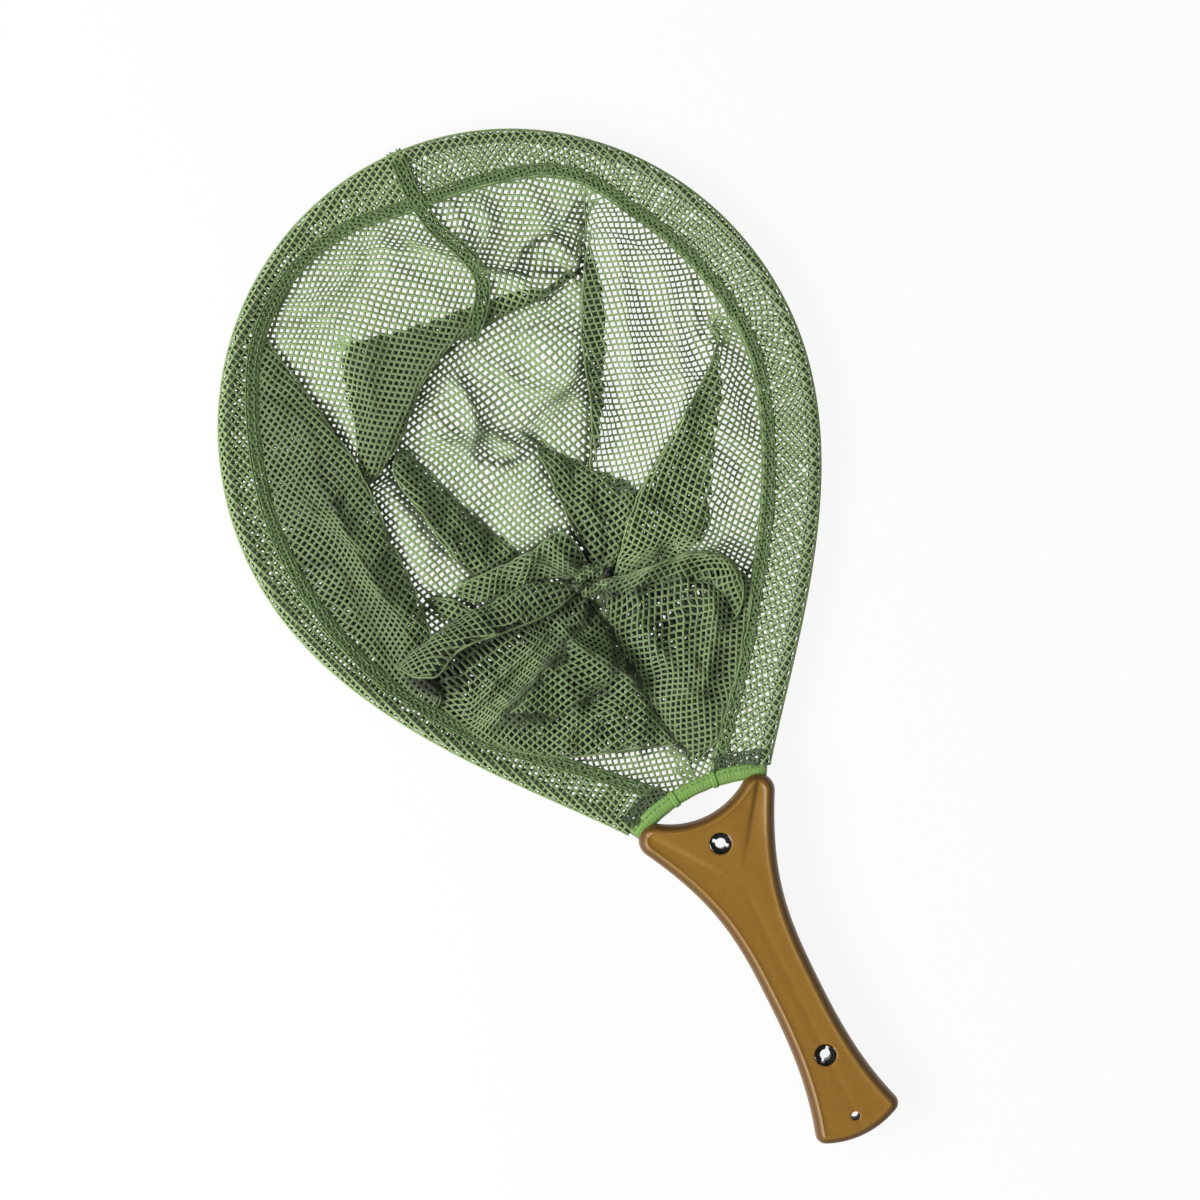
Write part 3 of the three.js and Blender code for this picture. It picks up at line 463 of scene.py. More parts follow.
def overRidges(spots):  # how far the crests lift the cloth, and how much more of it runs over their sides
    lift, extra = np.zeros(len(spots)), np.zeros((len(spots), 2))
    rows = np.arange(len(spots))
    for ridge in bagRidges:
        line = softLine(ridge["line"], ridgeShape["step"])
        starts, sides = line[:-1], line[1:] - line[:-1]
        gap = spots[:, None, :] - starts
        along = np.clip((gap * sides).sum(axis=2) / (sides ** 2).sum(axis=1), 0, 1)
        offset = gap - along[:, :, None] * sides
        near = np.hypot(offset[..., 0], offset[..., 1]).argmin(axis=1)
        way, share = offset[rows, near], (near + along[rows, near]) / len(sides)
        far = np.hypot(way[:, 0], way[:, 1])
        toLeft = sides[near, 0] * way[:, 1] - sides[near, 1] * way[:, 0] > 0
        width = np.where(toLeft, ridge["left"], ridge["right"]) * ridgeShape["spread"]
        high = ridge["high"] * smooth(0, ridgeShape["ends"], share) * smooth(0, ridgeShape["ends"], 1 - share)
        at = np.clip(far / width, 0, 1)
        lift += high * (1 - at) ** 2
        steps = np.linspace(0, 1, ridgeShape["samples"]) * at[:, None]
        slope = high[:, None] * 2 * (1 - steps) / width[:, None]
        more = (np.hypot(1, slope) - 1).mean(axis=1) * at * width * (1 - smooth(0, ridgeShape["fade"], far - width))
        extra += way / np.maximum(far, 1e-6)[:, None] * more[:, None]
    return lift, extra


filling = {"rowHeight": 0.866, "jitter": 0.1, "clear": 0.55}


def fillLoop(loop, step, seed, lines=()):  # even triangles inside a loop; the loop's own points come first
    dice = random.Random(seed)
    low, high = loop.min(axis=0), loop.max(axis=0)
    tall, jitter = filling["rowHeight"], filling["jitter"]
    spots = []
    for j in range(int((high[1] - low[1]) / (step * tall)) + 2):
        for i in range(int((high[0] - low[0]) / step) + 2):
            spots.append((low[0] + (i + 0.5 * (j % 2)) * step + dice.uniform(-jitter, jitter) * step,
                          low[1] + j * step * tall + dice.uniform(-jitter, jitter) * step))
    spots = np.array(spots)
    inside, depth = insideAndDepth(spots, loop)
    for line in lines:
        depth = np.minimum(depth, distanceTo(spots, line[:-1], line[1:]))
    every, edges = loop, []
    for line in lines:
        edges += [(k, k + 1) for k in range(len(every), len(every) + len(line) - 1)]
        every = np.vstack([every, line])
    every = np.vstack([every, spots[inside & (depth > step * filling["clear"])]])
    filled = delaunay_2d_cdt([Vector(p) for p in every], edges, [list(range(len(loop)))], 1, 1e-6)
    origin, crossings = [], []
    for place, source in zip(filled[0], filled[3]):
        origin.append(source[0] if source else len(every) + len(crossings))
        if not source:
            crossings.append(tuple(place))
    if crossings:
        every = np.vstack([every, crossings])
    return every, [tuple(origin[k] for k in tri) for tri in filled[2]]


rimLoop = softLine(rimLine, bagCloth["step"], closed=True)


def groundUnder(spots):  # height of the sheet that lies on the table, and the way in from the rim
    inside, depth = insideAndDepth(spots, rimLoop)
    depth = np.where(inside, depth, 0)
    return bagCloth["low"] + (bagCloth["rimHeight"] - bagCloth["low"]) * np.exp(-depth / bagCloth["rimSlope"]), depth


def rumple(spots, layer):  # long soft waves that start the wrinkles
    size = bagCloth["rumpleSize"]
    return np.array([noise.noise(Vector((p[0] / size, p[1] / size, layer * 3.7)))
                     + 0.5 * noise.noise(Vector((p[0] / size * 2.3, p[1] / size * 2.3, layer * 5.1 + 9)))
                     for p in spots]) * bagCloth["rumple"]


# Layers of a fold: steps and lifts in mm, shades from 0 for open cloth to 1, and the runs over which each comes in
foldShape = {"lineStep": 0.85, "waveRun": 10, "rootDrop": 0.8, "rootLift": 0.3, "rootShade": 0.75, "lightUnder": 0.25,
             "shaded": 0.26, "coverShade": 0.7, "underShade": 0.9, "rootShadeRun": 4, "orderLift": 1.6, "baseLift": 0.7,
             "liftRun": 7, "puff": 0.5, "puffRuns": (2.5, 4), "swellRuns": (6, 8), "waveRuns": (6, 6), "underGap": 0.3,
             "heldRim": 5, "underTurn": 30}


def layOut():  # all cloth before it settles; "parts" are the faces to knit, each with its flat place and island
    cloth = {"points": [], "pins": [], "foldLine": [], "deep": [], "faces": [], "parts": []}
    step = bagCloth["step"]

    def addPoint(x, y, z, pin, edge, deep):
        cloth["points"].append((x, y, z))
        cloth["pins"].append(pin)
        cloth["foldLine"].append(edge)
        cloth["deep"].append(deep)
        return len(cloth["points"]) - 1

    def addPart(corners, places, turn, island, mirror=False):
        cos, sin = math.cos(math.radians(turn)), math.sin(math.radians(turn))
        flat = [((-1 if mirror else 1) * (x * cos + y * sin), y * cos - x * sin) for x, y in places]
        if mirror:
            corners, flat = corners[::-1], flat[::-1]
        cloth["parts"].append((corners, flat, island))
        return corners

    def addFace(corners, places, turn, island, mirror=False):
        cloth["faces"].append(addPart(corners, places, turn, island, mirror))

    def covered(spots, order):  # how dark the yarn is under the folds that lie over it
        count = np.zeros(len(spots))
        for fold in bagFolds.values():
            if fold["order"] > order:
                count += insideAndDepth(spots, fold["loop"])[0]
        return 1 - foldShape["lightUnder"] ** count

    # the sheet on the table, cut along the root of every fold that grows out of it
    grown = [fold for fold in bagFolds.values() if "under" in fold]
    for fold in bagFolds.values():
        fold["freeLine"] = softLine(fold["free"], step * foldShape["lineStep"])
        fold["rootLine"] = softLine(fold["root"], step * foldShape["lineStep"])
        fold["loop"] = np.vstack([fold["freeLine"], fold["rootLine"][-2:0:-1]])
    spots, triangles = fillLoop(rimLoop, step, bagCloth["seed"], [fold["rootLine"] for fold in grown])
    ground, depth = groundUnder(spots)
    waves = np.abs(rumple(spots, 0)) * np.clip(depth / foldShape["waveRun"], 0, 1)
    index = [addPoint(*spot, high + wave, 1.0 if inset < 0.5 else 0.0, 0.0, dark)
             for spot, high, wave, inset, dark in zip(spots, ground, waves, depth, covered(spots, 0))]
    flatSpots = spots + overRidges(spots)[1]
    middles = np.array([spots[list(tri)].mean(axis=0) for tri in triangles])
    sheetOf = np.full(len(triangles), "middle", dtype=object)
    for name, sheet in bagSheets.items():
        sheetOf[insideAndDepth(middles, np.array(sheet["line"], float))[0]] = name
    below = {}
    taken = np.zeros(len(triangles), bool)
    for fold in grown:
        inside = insideAndDepth(middles, fold["loop"])[0] & ~taken
        taken |= inside
        gaps = np.linalg.norm(spots[None, :, :] - fold["rootLine"][:, None, :], axis=2)
        nearest = gaps.argmin(axis=1)
        fold["rootPoints"] = [index[k] for k in nearest]
        copies = {}
        drop = foldShape["rootDrop"]
        for k in nearest[1:-1]:
            x, y, z = cloth["points"][index[k]]
            copies[index[k]] = addPoint(x, y, max(drop, z - drop), 0.0, 0.0, foldShape["rootShade"])
            cloth["points"][index[k]] = (x, y, z + foldShape["rootLift"])
            cloth["deep"][index[k]] = 0.0
        fold["rootCopies"] = [copies.get(k, k) for k in fold["rootPoints"]]
        fold["rootSpots"] = nearest
        upperSheet, upperFrom = fold.get("underTop", (fold["under"], math.inf))
        for t in np.nonzero(inside)[0]:
            below[t] = (copies, upperSheet if middles[t][1] > upperFrom else fold["under"])
    for t, tri in enumerate(triangles):
        corners, sheet = [index[k] for k in tri], sheetOf[t]
        if t in below:
            copies, sheet = below[t]
            corners = [copies.get(k, k) for k in corners]
        addFace(corners, [tuple(flatSpots[k]) for k in tri], bagSheets[sheet]["threads"], (sheet, "sheet"))

    # each sheet runs on a little under its neighbours
    meets = {}
    for fold in grown:
        for k in fold["rootSpots"]:
            meets.setdefault(k, set()).add(fold["sheet"])
    for t, tri in enumerate(triangles):
        if t not in below:
            for k in tri:
                meets.setdefault(k, set()).add(sheetOf[t])
    for t, tri in enumerate(triangles):
        if t in below:
            continue
        corners, places = [index[k] for k in tri], [tuple(flatSpots[k]) for k in tri]
        for other in sorted(set().union(*(meets[k] for k in tri)) - {sheetOf[t]}):
            addPart(corners, places, bagSheets[other]["threads"], (other, "sheet"))

    # the folds, each an upper and an under layer that meet in the free edge
    for number, fold in enumerate(bagFolds.values()):
        free, root = fold["freeLine"], fold["rootLine"]
        spots, triangles = fillLoop(fold["loop"], step, bagCloth["seed"] + 1 + number)
        ground, inset = groundUnder(spots)
        dark = fold.get("shaded", foldShape["shaded"]) + foldShape["coverShade"] * covered(spots, fold["order"])
        flatSpots = spots + overRidges(spots)[1]
        fromFree = distanceTo(spots, free[:-1], free[1:])
        fromRoot = distanceTo(spots, root[:-1], root[1:])
        rise = bagCloth["layer"] * (2 * fold["order"] - 0.5)
        base = bagCloth["layer"] * (fold["order"] - 1) * foldShape["orderLift"] + foldShape["baseLift"]
        lift = base + (rise - base) * ease(fromRoot, foldShape["liftRun"])
        byFree, byRoot = foldShape["puffRuns"]
        puff = bagCloth["layer"] * foldShape["puff"] * ease(fromFree, byFree) * ease(fromRoot, byRoot)
        byFree, byRoot = foldShape["swellRuns"]
        swell = fold["swell"] * ease(fromFree, byFree) * ease(fromRoot, byRoot)
        byFree, byRoot = foldShape["waveRuns"]
        wave = np.maximum(0, rumple(spots, number + 1)) * ease(fromFree, byFree) * ease(fromRoot, byRoot)
        most = foldShape["underShade"]
        atRoot = np.exp(-(fromRoot / foldShape["rootShadeRun"]) ** 2)
        under = np.clip(most + (1 - most) * dark + (dark - most) * atRoot, 0, 1)
        upper, lower = [], []
        for k, spot in enumerate(spots):
            onFree, onRoot = k < len(free), len(free) <= k < len(fold["loop"])
            if onRoot and "under" in fold:
                place = len(fold["loop"]) - k
                upper.append(fold["rootPoints"][place])
                lower.append(fold["rootCopies"][place])
                continue
            held = 1.0 if onRoot or inset[k] < foldShape["heldRim"] else 0.0
            high, low = ground[k] + lift[k] + puff[k] + swell[k] + wave[k], ground[k] + lift[k] - puff[k]
            upper.append(addPoint(*spot, high, held, float(onFree), dark[k]))
            lower.append(upper[-1] if onFree else addPoint(*spot, low - foldShape["underGap"], held, 0.0, under[k]))
        sheet = fold["sheet"]
        island = (sheet, "sheet" if "under" in fold else "upper%d" % number)
        for tri in triangles:
            places = [tuple(flatSpots[k]) for k in tri]
            addFace([upper[k] for k in tri], places, fold["turn"], island)
            addFace([lower[k] for k in tri], places, fold["turn"] + foldShape["underTurn"],
                    (sheet, "under%d" % number), True)
    return cloth


# How the cloth drops: worked at ten times its size, where the solver is steady; it grows by 6%, which rumples it
settling = {"big": 0.01, "frames": 45, "tableGap": 0.006, "tableGrip": 20}
drapeSettings = {"quality": 7, "mass": 0.05, "air_damping": 4, "tension_stiffness": 20, "compression_stiffness": 20,
                 "shear_stiffness": 8, "bending_stiffness": 0.3, "tension_damping": 8, "compression_damping": 8,
                 "shear_damping": 8, "vertex_group_mass": "held", "shrink_min": -0.06}
touchSettings = {"distance_min": 0.006, "collision_quality": 3, "use_self_collision": True,
                 "self_distance_min": 0.009, "self_friction": 12}


def settle(cloth):
    big = settling["big"]
    net = makePiece("bag cloth", [[c * big for c in p] for p in cloth["points"]], cloth["faces"])
    table = makePiece("table", [(-3, -3, 0), (3, -3, 0), (3, 4, 0), (-3, 4, 0)], [(0, 1, 2, 3)])
    table.modifiers.new("hit", "COLLISION")
    table.collision.thickness_outer = settling["tableGap"]
    table.collision.cloth_friction = settling["tableGrip"]
    group = net.vertex_groups.new(name="held")
    group.add([k for k, pin in enumerate(cloth["pins"]) if pin], 1.0, "REPLACE")
    drape = net.modifiers.new("drape", "CLOTH")
    for name, value in drapeSettings.items():
        setattr(drape.settings, name, value)
    for name, value in touchSettings.items():
        setattr(drape.collision_settings, name, value)
    for number in range(1, settling["frames"] + 1):
        scene.frame_set(number)
    graph = bpy.context.evaluated_depsgraph_get()
    done = net.evaluated_get(graph).to_mesh()
    cloth["points"] = [tuple(c / big for c in vertex.co) for vertex in done.vertices]
    for thing in (net, table):
        bpy.data.objects.remove(thing)
    scene.frame_set(1)


bag = layOut()
report("bag laid out, %d points" % len(bag["points"]))
settle(bag)


# Creases that stay in the cloth: crumples, calmer towards the tip, pleats round the gather, and tight creases
crumpling = {"high": 8.0, "size": 17, "level": 0.25, "calm": 0.12, "calmFrom": 110, "calmTo": 50, "pleats": 5,
             "pleatHigh": 4.5, "pleatWander": 1.5, "pleatTwist": 20, "pleatFrom": (2, 8), "pleatReach": 19,
             "gatherShade": 0.5, "gatherReach": 15, "rimRun": (2, 16), "creaseStep": 2.0, "creaseHigh": 4.0,
             "creaseWide": (0.6, 2.9), "least": 0.7}


def fromGather(spots):  # distance and direction from where the bag is drawn together
    gap = spots - np.array(bagCloth["gatherAt"])
    return np.hypot(gap[:, 0], gap[:, 1]), np.arctan2(gap[:, 1], gap[:, 0])


def creased(spots):  # how dark the tight creases are at each spot
    dark = np.zeros(len(spots))
    for crease in bagCreases:
        line = softLine(crease["line"], crumpling["creaseStep"])
        near = 1 - smooth(*crumpling["creaseWide"], distanceTo(spots, line[:-1], line[1:]))
        dark = np.maximum(dark, crease["dark"] * near)
    return dark


def crumple(points):  # the same in every layer, so that none runs into another
    spots = points[:, :2]
    size, calm = crumpling["size"], crumpling["calm"]
    waves = np.array([crumpling["level"] - abs(noise.noise(Vector((p[0] / size, p[1] / size, 4.2)))) for p in spots])
    lively = 1 - smooth(crumpling["calmTo"], crumpling["calmFrom"], spots[:, 1])
    most = crumpling["high"] * (calm + (1 - calm) * lively)
    far, turn = fromGather(spots)
    swing = crumpling["pleats"] * turn + crumpling["pleatWander"] * np.sin(2 * turn) + far / crumpling["pleatTwist"]
    near = smooth(*crumpling["pleatFrom"], far)
    pleats = np.abs(np.sin(swing)) * near * np.exp(-(far / crumpling["pleatReach"]) ** 2)
    lift = overRidges(spots)[0] + most * waves - crumpling["pleatHigh"] * pleats
    lift *= smooth(*crumpling["rimRun"], groundUnder(spots)[1])
    lift += crumpling["creaseHigh"] * creased(spots)
    return np.column_stack([spots, np.maximum(points[:, 2] + lift, crumpling["least"])])


bag["settled"] = bag["points"]
# painted shade, darker close to the gather where the cloth is drawn in
drawnIn = np.exp(-(fromGather(np.array(bag["settled"])[:, :2])[0] / crumpling["gatherReach"]) ** 2)
bag["deep"] = [min(1.0, deep + more) for deep, more in zip(bag["deep"], crumpling["gatherShade"] * drawnIn)]
bag["points"] = [tuple(p) for p in crumple(np.array(bag["points"]))]
heights = [p[2] for p in bag["points"]]
report("bag settled, heights %.1f to %.1f mm" % (min(heights), max(heights)))


def clothPiece(name, sheet):  # one sheet of the bag with its folds, its flat islands side by side
    parts = [part for part in bag["parts"] if part[2][0] == sheet]
    used = sorted({k for corners, flat, island in parts for k in corners})
    index = {k: n for n, k in enumerate(used)}
    piece = makePiece(name, [[c * mm for c in bag["settled"][k]] for k in used],
                      [[index[k] for k in corners] for corners, flat, island in parts])
    islands = {}
    for corners, flat, island in parts:
        islands.setdefault(island[1], []).extend(flat)
    shifts, cursor, tall = {}, 0.0, 0.0
    for key in sorted(islands):
        low, high = np.min(islands[key], axis=0), np.max(islands[key], axis=0)
        shifts[key] = np.array([cursor, 0.0]) - low
        cursor += high[0] - low[0] + bagCloth["islandGap"]
        tall = max(tall, high[1] - low[1])
    size = max(cursor, tall) + bagCloth["margin"]
    layer = piece.data.uv_layers.new(name="flat")
    places = [(np.array(spot) + shifts[island[1]] - (cursor / 2, tall / 2)) / size + 0.5
              for corners, flat, island in parts for spot in flat]
    layer.uv.foreach_set("vector", np.array(places, dtype=np.float32).ravel())
    markPoints(piece, "foldLine", [bag["foldLine"][k] for k in used])
    markPoints(piece, "deep", [bag["deep"][k] for k in used])
    return piece, size, cursor, tall, faceArea(piece)


for name, sheet in (("bag_tip", "tip"), ("bag_right", "right"), ("bag_middle", "middle"), ("bag_left", "left"),
                    ("bag_lower_right", "lowerRight"), ("bag_lower_left", "lowerLeft")):
    piece, size, wide, tall, area = clothPiece(name, sheet)
    smoother = piece.modifiers.new("smooth", "SUBSURF")
    smoother.levels = smoother.render_levels = 1
    bakePiece(piece)
    spots = np.empty(len(piece.data.vertices) * 3)
    piece.data.vertices.foreach_get("co", spots)
    spots = spots.reshape(-1, 3) / mm
    piece.data.vertices.foreach_set("co", (crumple(spots) * mm).ravel())
    # painted shade: the tight creases darken the deep mark
    shades = np.empty(len(spots))
    piece.data.attributes["deep"].data.foreach_get("value", shades)
    piece.data.attributes["deep"].data.foreach_set("value", np.minimum(1, shades + creased(spots[:, :2])))
    piece.data.update()
    knitOver(piece, bagCloth["hole"], bagStrands[sheet], bagCloth["foldStrand"], size, wide, tall, netKnit)
    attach(piece, "root")
    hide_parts("bag_body")
    side = math.sqrt(area)
    report("%s: %d triangles, %.0f cm2 of cloth" % (name, triangleCount(piece), area * 1e4))

# Hem: the net folded round the bent rod, both layers running in to the rim of the bag
hoop = {"halfWidth": 145.5, "crown": 151.0, "widest": 117.0, "mouth": (34.6, -85.6), "flank": (0.41, 0.19, 0.25),
        "height": 11.0}
hemCloth = {"step": 3.2, "ends": 3.2, "roundRod": 3.8, "least": 11.0, "most": 29.0, "overlap": 2.0, "evenOut": 4,
            "gap": 0.5, "sag": 0.8, "underSag": 0.4, "fall": 0.85, "slant": 0.53, "slantRun": 45.0, "flutter": 0.8,
            "flutterSize": (24, 16), "rows": 10, "turns": 7, "hole": 3.8, "strand": {"left": 1.3, "right": 1.05},
            "shaded": {"left": 0.5, "right": 0.1}, "rimStrand": 1.2, "threads": -20}


def hoopPath(step):  # from the left arm over the tip to the right arm: places, ways along, ways in
    reach = hoop["widest"] - hoop["mouth"][1]
    down, out, up = hoop["flank"]
    wide, mouth = Vector((hoop["halfWidth"], hoop["widest"])), Vector(hoop["mouth"])
    flank = interpolate_bezier(wide, wide - Vector((0, reach * down)), mouth + Vector((reach * out, reach * up)),
                               mouth, 80)
    crown = [Vector((hoop["halfWidth"] * math.cos(a), hoop["widest"] + hoop["crown"] * math.sin(a)))
             for a in np.linspace(math.pi / 2, 0, 60)]
    right = crown + [Vector(p[:2]) for p in flank[1:]]
    places = walk([Vector((-p.x, p.y)) for p in reversed(right)] + right[1:], step, False)
    along = np.gradient(places, axis=0)
    along /= np.linalg.norm(along, axis=1)[:, None]
    return places, along, np.column_stack([along[:, 1], -along[:, 0]])


hoopPlaces, hoopAlong, hoopInward = hoopPath(hemCloth["step"])
hoopCount = len(hoopPlaces)
hoopLength = (hoopCount - 1) * hemCloth["step"]


def reachIn():  # how far the hem runs in at each step, up to the rim of the bag
    starts, sides = rimLoop, np.roll(rimLoop, -1, axis=0) - rimLoop
    found = []
    for place, way in zip(hoopPlaces, hoopInward):
        gaps = starts - place
        cross = way[0] * sides[:, 1] - way[1] * sides[:, 0]
        far = (gaps[:, 0] * sides[:, 1] - gaps[:, 1] * sides[:, 0]) / cross
        share = (gaps[:, 0] * way[1] - gaps[:, 1] * way[0]) / cross
        hits = far[(share >= 0) & (share <= 1) & (far > 2)]
        found.append(hits.min() if len(hits) else hemCloth["most"])
    found = np.clip(np.array(found) + hemCloth["overlap"], hemCloth["least"], hemCloth["most"])
    padded = np.pad(found, hemCloth["evenOut"], mode="edge")
    count = 2 * hemCloth["evenOut"] + 1
    return np.convolve(padded, np.ones(count) / count, mode="valid")


hemReach = reachIn()


def hemPlace(step, inward):  # plan position of a point of the hem; the ends are cut along the throat
    along = step * hemCloth["step"]
    toEnd = min(along, hoopLength - along)
    slant = hemCloth["slant"] * inward * max(0.0, 1 - toEnd / hemCloth["slantRun"])
    sign = -1 if along < hoopLength / 2 else 1
    return hoopPlaces[step] + hoopInward[step] * inward + hoopAlong[step] * slant * sign


def hemWave(step, inward, layer):
    long, wide = hemCloth["flutterSize"]
    return noise.noise(Vector((step * hemCloth["step"] / long, inward / wide, layer))) * hemCloth["flutter"]


def hemTop(step, inward):
    share = min(1.0, max(0.0, inward / hemReach[step]))
    high = hoop["height"] + hemCloth["roundRod"]
    return (high + (bagCloth["rimHeight"] + hemCloth["gap"] - high) * share ** hemCloth["fall"]
            + (hemWave(step, inward, 3.3) - hemCloth["sag"]) * math.sin(math.pi * share))


def hemUnder(step, inward):
    share = min(1.0, max(0.0, inward / hemReach[step]))
    low = hoop["height"] - hemCloth["roundRod"]
    return (low + (bagCloth["rimHeight"] - hemCloth["gap"] - low) * share
            + (hemWave(step, inward, 8.1) - hemCloth["underSag"] * hemCloth["sag"]) * math.sin(math.pi * share))


# Cloth from rows of points in mm, its flat map turned to the threads; marks run yarn along rows, inner paints shade on
# them
def gridPiece(name, rows, flats, marks, threads, inner=None):
    wide, count = len(rows[0]), len(rows)
    faces = [(r * wide + c, r * wide + c + 1, (r + 1) * wide + c + 1, (r + 1) * wide + c)
             for r in range(count - 1) for c in range(wide - 1)]
    piece = makePiece(name, [[v * mm for v in p] for row in rows for p in row], faces)
    cos, sin = math.cos(math.radians(threads)), math.sin(math.radians(threads))
    flat = np.array([p for row in flats for p in row])
    flat = np.column_stack([flat[:, 0] * cos + flat[:, 1] * sin, flat[:, 1] * cos - flat[:, 0] * sin])
    low, high = flat.min(axis=0), flat.max(axis=0)
    size = (high - low).max() + bagCloth["margin"]
    places = (flat - (low + high) / 2) / size + 0.5
    layer = piece.data.uv_layers.new(name="flat")
    layer.uv.foreach_set("vector", places[[k for face in faces for k in face]].astype(np.float32).ravel())
    markPoints(piece, "foldLine", [v for row in rows for v in marks])
    markPoints(piece, "deep", [v for row in rows for v in inner or [0.0] * wide])
    return piece, size, high[0] - low[0], high[1] - low[1], faceArea(piece)


def hemHalf(name, first, last, shaded):
    across = [i / hemCloth["rows"] for i in range(hemCloth["rows"], 0, -1)]
    turns = [math.pi * i / hemCloth["turns"] for i in range(hemCloth["turns"] + 1)]
    rows, flats = [], []
    for step in range(first, last + 1):
        row, flat = [], []
        centre, way = hoopPlaces[step], hoopInward[step]
        for share in across:
            spot = hemPlace(step, share * hemReach[step])
            row.append((*spot, hemTop(step, share * hemReach[step])))
            flat.append(tuple(spot))
        for turn in turns:
            spot = centre - way * math.sin(turn) * hemCloth["roundRod"]
            row.append((*spot, hoop["height"] + math.cos(turn) * hemCloth["roundRod"]))
            flat.append(tuple(centre - way * turn * hemCloth["roundRod"]))
        for share in reversed(across):
            inward = share * hemReach[step]
            row.append((*hemPlace(step, inward), hemUnder(step, inward)))
            flat.append(tuple(centre - way * (math.pi * hemCloth["roundRod"] + inward)))
        rows.append(row)
        flats.append(flat)
    marks = [0.0] * len(rows[0])
    outermost = len(across) + hemCloth["turns"] // 2
    marks[0] = marks[-1] = marks[outermost] = marks[outermost + 1] = 1.0
    # painted shade on the lower layer of the hem
    inner = [0.0] * (len(across) + len(turns)) + [shaded] * len(across)
    return gridPiece(name, rows, flats, marks, hemCloth["threads"], inner)


hemFirst = round(hemCloth["ends"] / hemCloth["step"])
hemTip = hoopCount // 2
hemHalves = {"left": (hemFirst, hemTip + 3), "right": (hemTip + 1, hoopCount - 1 - hemFirst)}  # they lap at the tip
for side, (first, last) in hemHalves.items():
    name = "hem_" + side
    piece, size, wide, tall, area = hemHalf(name, first, last, hemCloth["shaded"][side])
    knitOver(piece, hemCloth["hole"], hemCloth["strand"][side], hemCloth["rimStrand"], size, wide, tall, netKnit)
    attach(piece, "root")
    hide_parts("hem_sleeve")
    length = (last - first) * hemCloth["step"] * mm
    report("%s: %d triangles, %.0f x %.0f mm of cloth" % (name, triangleCount(piece), area / length / mm, length / mm))

# Facing: a narrow, closer knitted band folded over the inner edge of the hem and stitched down
# It is held tight and lies three layers deep, so it shows as a brighter, nearly closed line round the bag
facing = {"width": 5.4, "lift": 0.9, "lip": 0.8, "turn": 1.2, "hole": 3.0, "strand": 1.3, "edge": 0.9, "threads": 35,
          "shaded": 0.5, "stitch": 3.4, "thread": 0.7, "stitchIn": 1.3, "stitchOut": 1.1}
closeLook = {"yarn": "#748F58", "shade": "#5E7944", "patch": 18, "fibre": 0.4}
closeKnit = knitMaterial("polyester net, warp knitted close", **closeLook)


def facingLift(share):  # it stands a little higher at its inner edge
    return facing["lift"] * (0.7 + 0.3 * share)


def facingHalf(name, first, last):
    rows, flats = [], []
    for step in range(first, last + 1):
        reach = hemReach[step]
        centre, way = hoopPlaces[step], hoopInward[step]
        row, flat = [], []
        for share in (0, 0.25, 0.5, 0.75, 1):
            inward = reach - facing["width"] * (1 - share)
            row.append((*hemPlace(step, inward), hemTop(step, inward) + facingLift(share)))
            flat.append(tuple(centre + way * (inward - reach)))
        row.append((*hemPlace(step, reach + facing["lip"]), bagCloth["rimHeight"]))
        flat.append(tuple(centre + way * facing["turn"]))
        for share in (1, 0.66, 0.33, 0):
            inward = reach - facing["width"] * (1 - share)
            row.append((*hemPlace(step, inward), hemUnder(step, inward) - facingLift(share)))
            flat.append(tuple(centre + way * (2 * facing["turn"] + facing["width"] * (1 - share))))
        rows.append(row)
        flats.append(flat)
    marks = [1.0, 0, 0, 0, 0, 1.0, 0, 0, 0, 1.0]
    # painted shade on the lower layer of the facing
    return gridPiece(name, rows, flats, marks, facing["threads"], [0.0] * 6 + [facing["shaded"]] * 4)


for side, (first, last) in hemHalves.items():
    name = "facing_" + side
    piece, size, wide, tall, area = facingHalf(name, first, last)
    knitOver(piece, facing["hole"], facing["strand"], facing["edge"], size, wide, tall, closeKnit)
    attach(piece, "root")
    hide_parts("hem_facing")
    length = (last - first) * hemCloth["step"] * mm
    report("%s: %d triangles" % (name, triangleCount(piece)))

# Stitches: short dashes in a row along a line
# Polyester thread, twisted: paler than the net, so a row of stitches shows as a line of light dashes
sewingLook = {"yarn": "#8EA574", "shade": "#788F5F", "patch": 9, "fibre": 0.3}
sewingThread = knitMaterial("polyester thread, twisted", **sewingLook)
dashShare = 0.7


def buildStitchTree():
    tree, given = startTree("stitch row", "Line", (
        ("Spacing", "Float"), ("Thread", "Float"), ("Share", "Float")), "Stitches")
    line = addNode(tree, "GeometryNodeMeshToCurve", links={"Mesh": given["Line"]})
    spots = addNode(tree, "GeometryNodeCurveToPoints", links={"Curve": line.outputs[0], "Length": given["Spacing"]},
                    mode="LENGTH")
    radius = addNode(tree, "ShaderNodeMath", {1: 0.5}, {0: given["Thread"]}, operation="MULTIPLY")
    long = addNode(tree, "ShaderNodeMath", links={0: given["Spacing"], 1: given["Share"]}, operation="MULTIPLY")
    half = addNode(tree, "ShaderNodeMath", {1: 0.5}, {0: long.outputs[0]}, operation="MULTIPLY")
    dash = addNode(tree, "GeometryNodeMeshUVSphere", {"Segments": 6, "Rings": 4, "Radius": 1.0})
    scale = addNode(tree, "ShaderNodeCombineXYZ", links={
        "X": radius.outputs[0], "Y": radius.outputs[0], "Z": half.outputs[0]})
    aim = addNode(tree, "FunctionNodeAlignRotationToVector", links={"Vector": spots.outputs["Tangent"]}, axis="Z")
    sewn = addNode(tree, "GeometryNodeInstanceOnPoints", links={
        "Points": spots.outputs["Points"], "Instance": dash.outputs["Mesh"], "Rotation": aim.outputs[0],
        "Scale": scale.outputs[0]})
    endTree(tree, sewn.outputs[0], given["Material"])
    return tree


stitchTree = buildStitchTree()


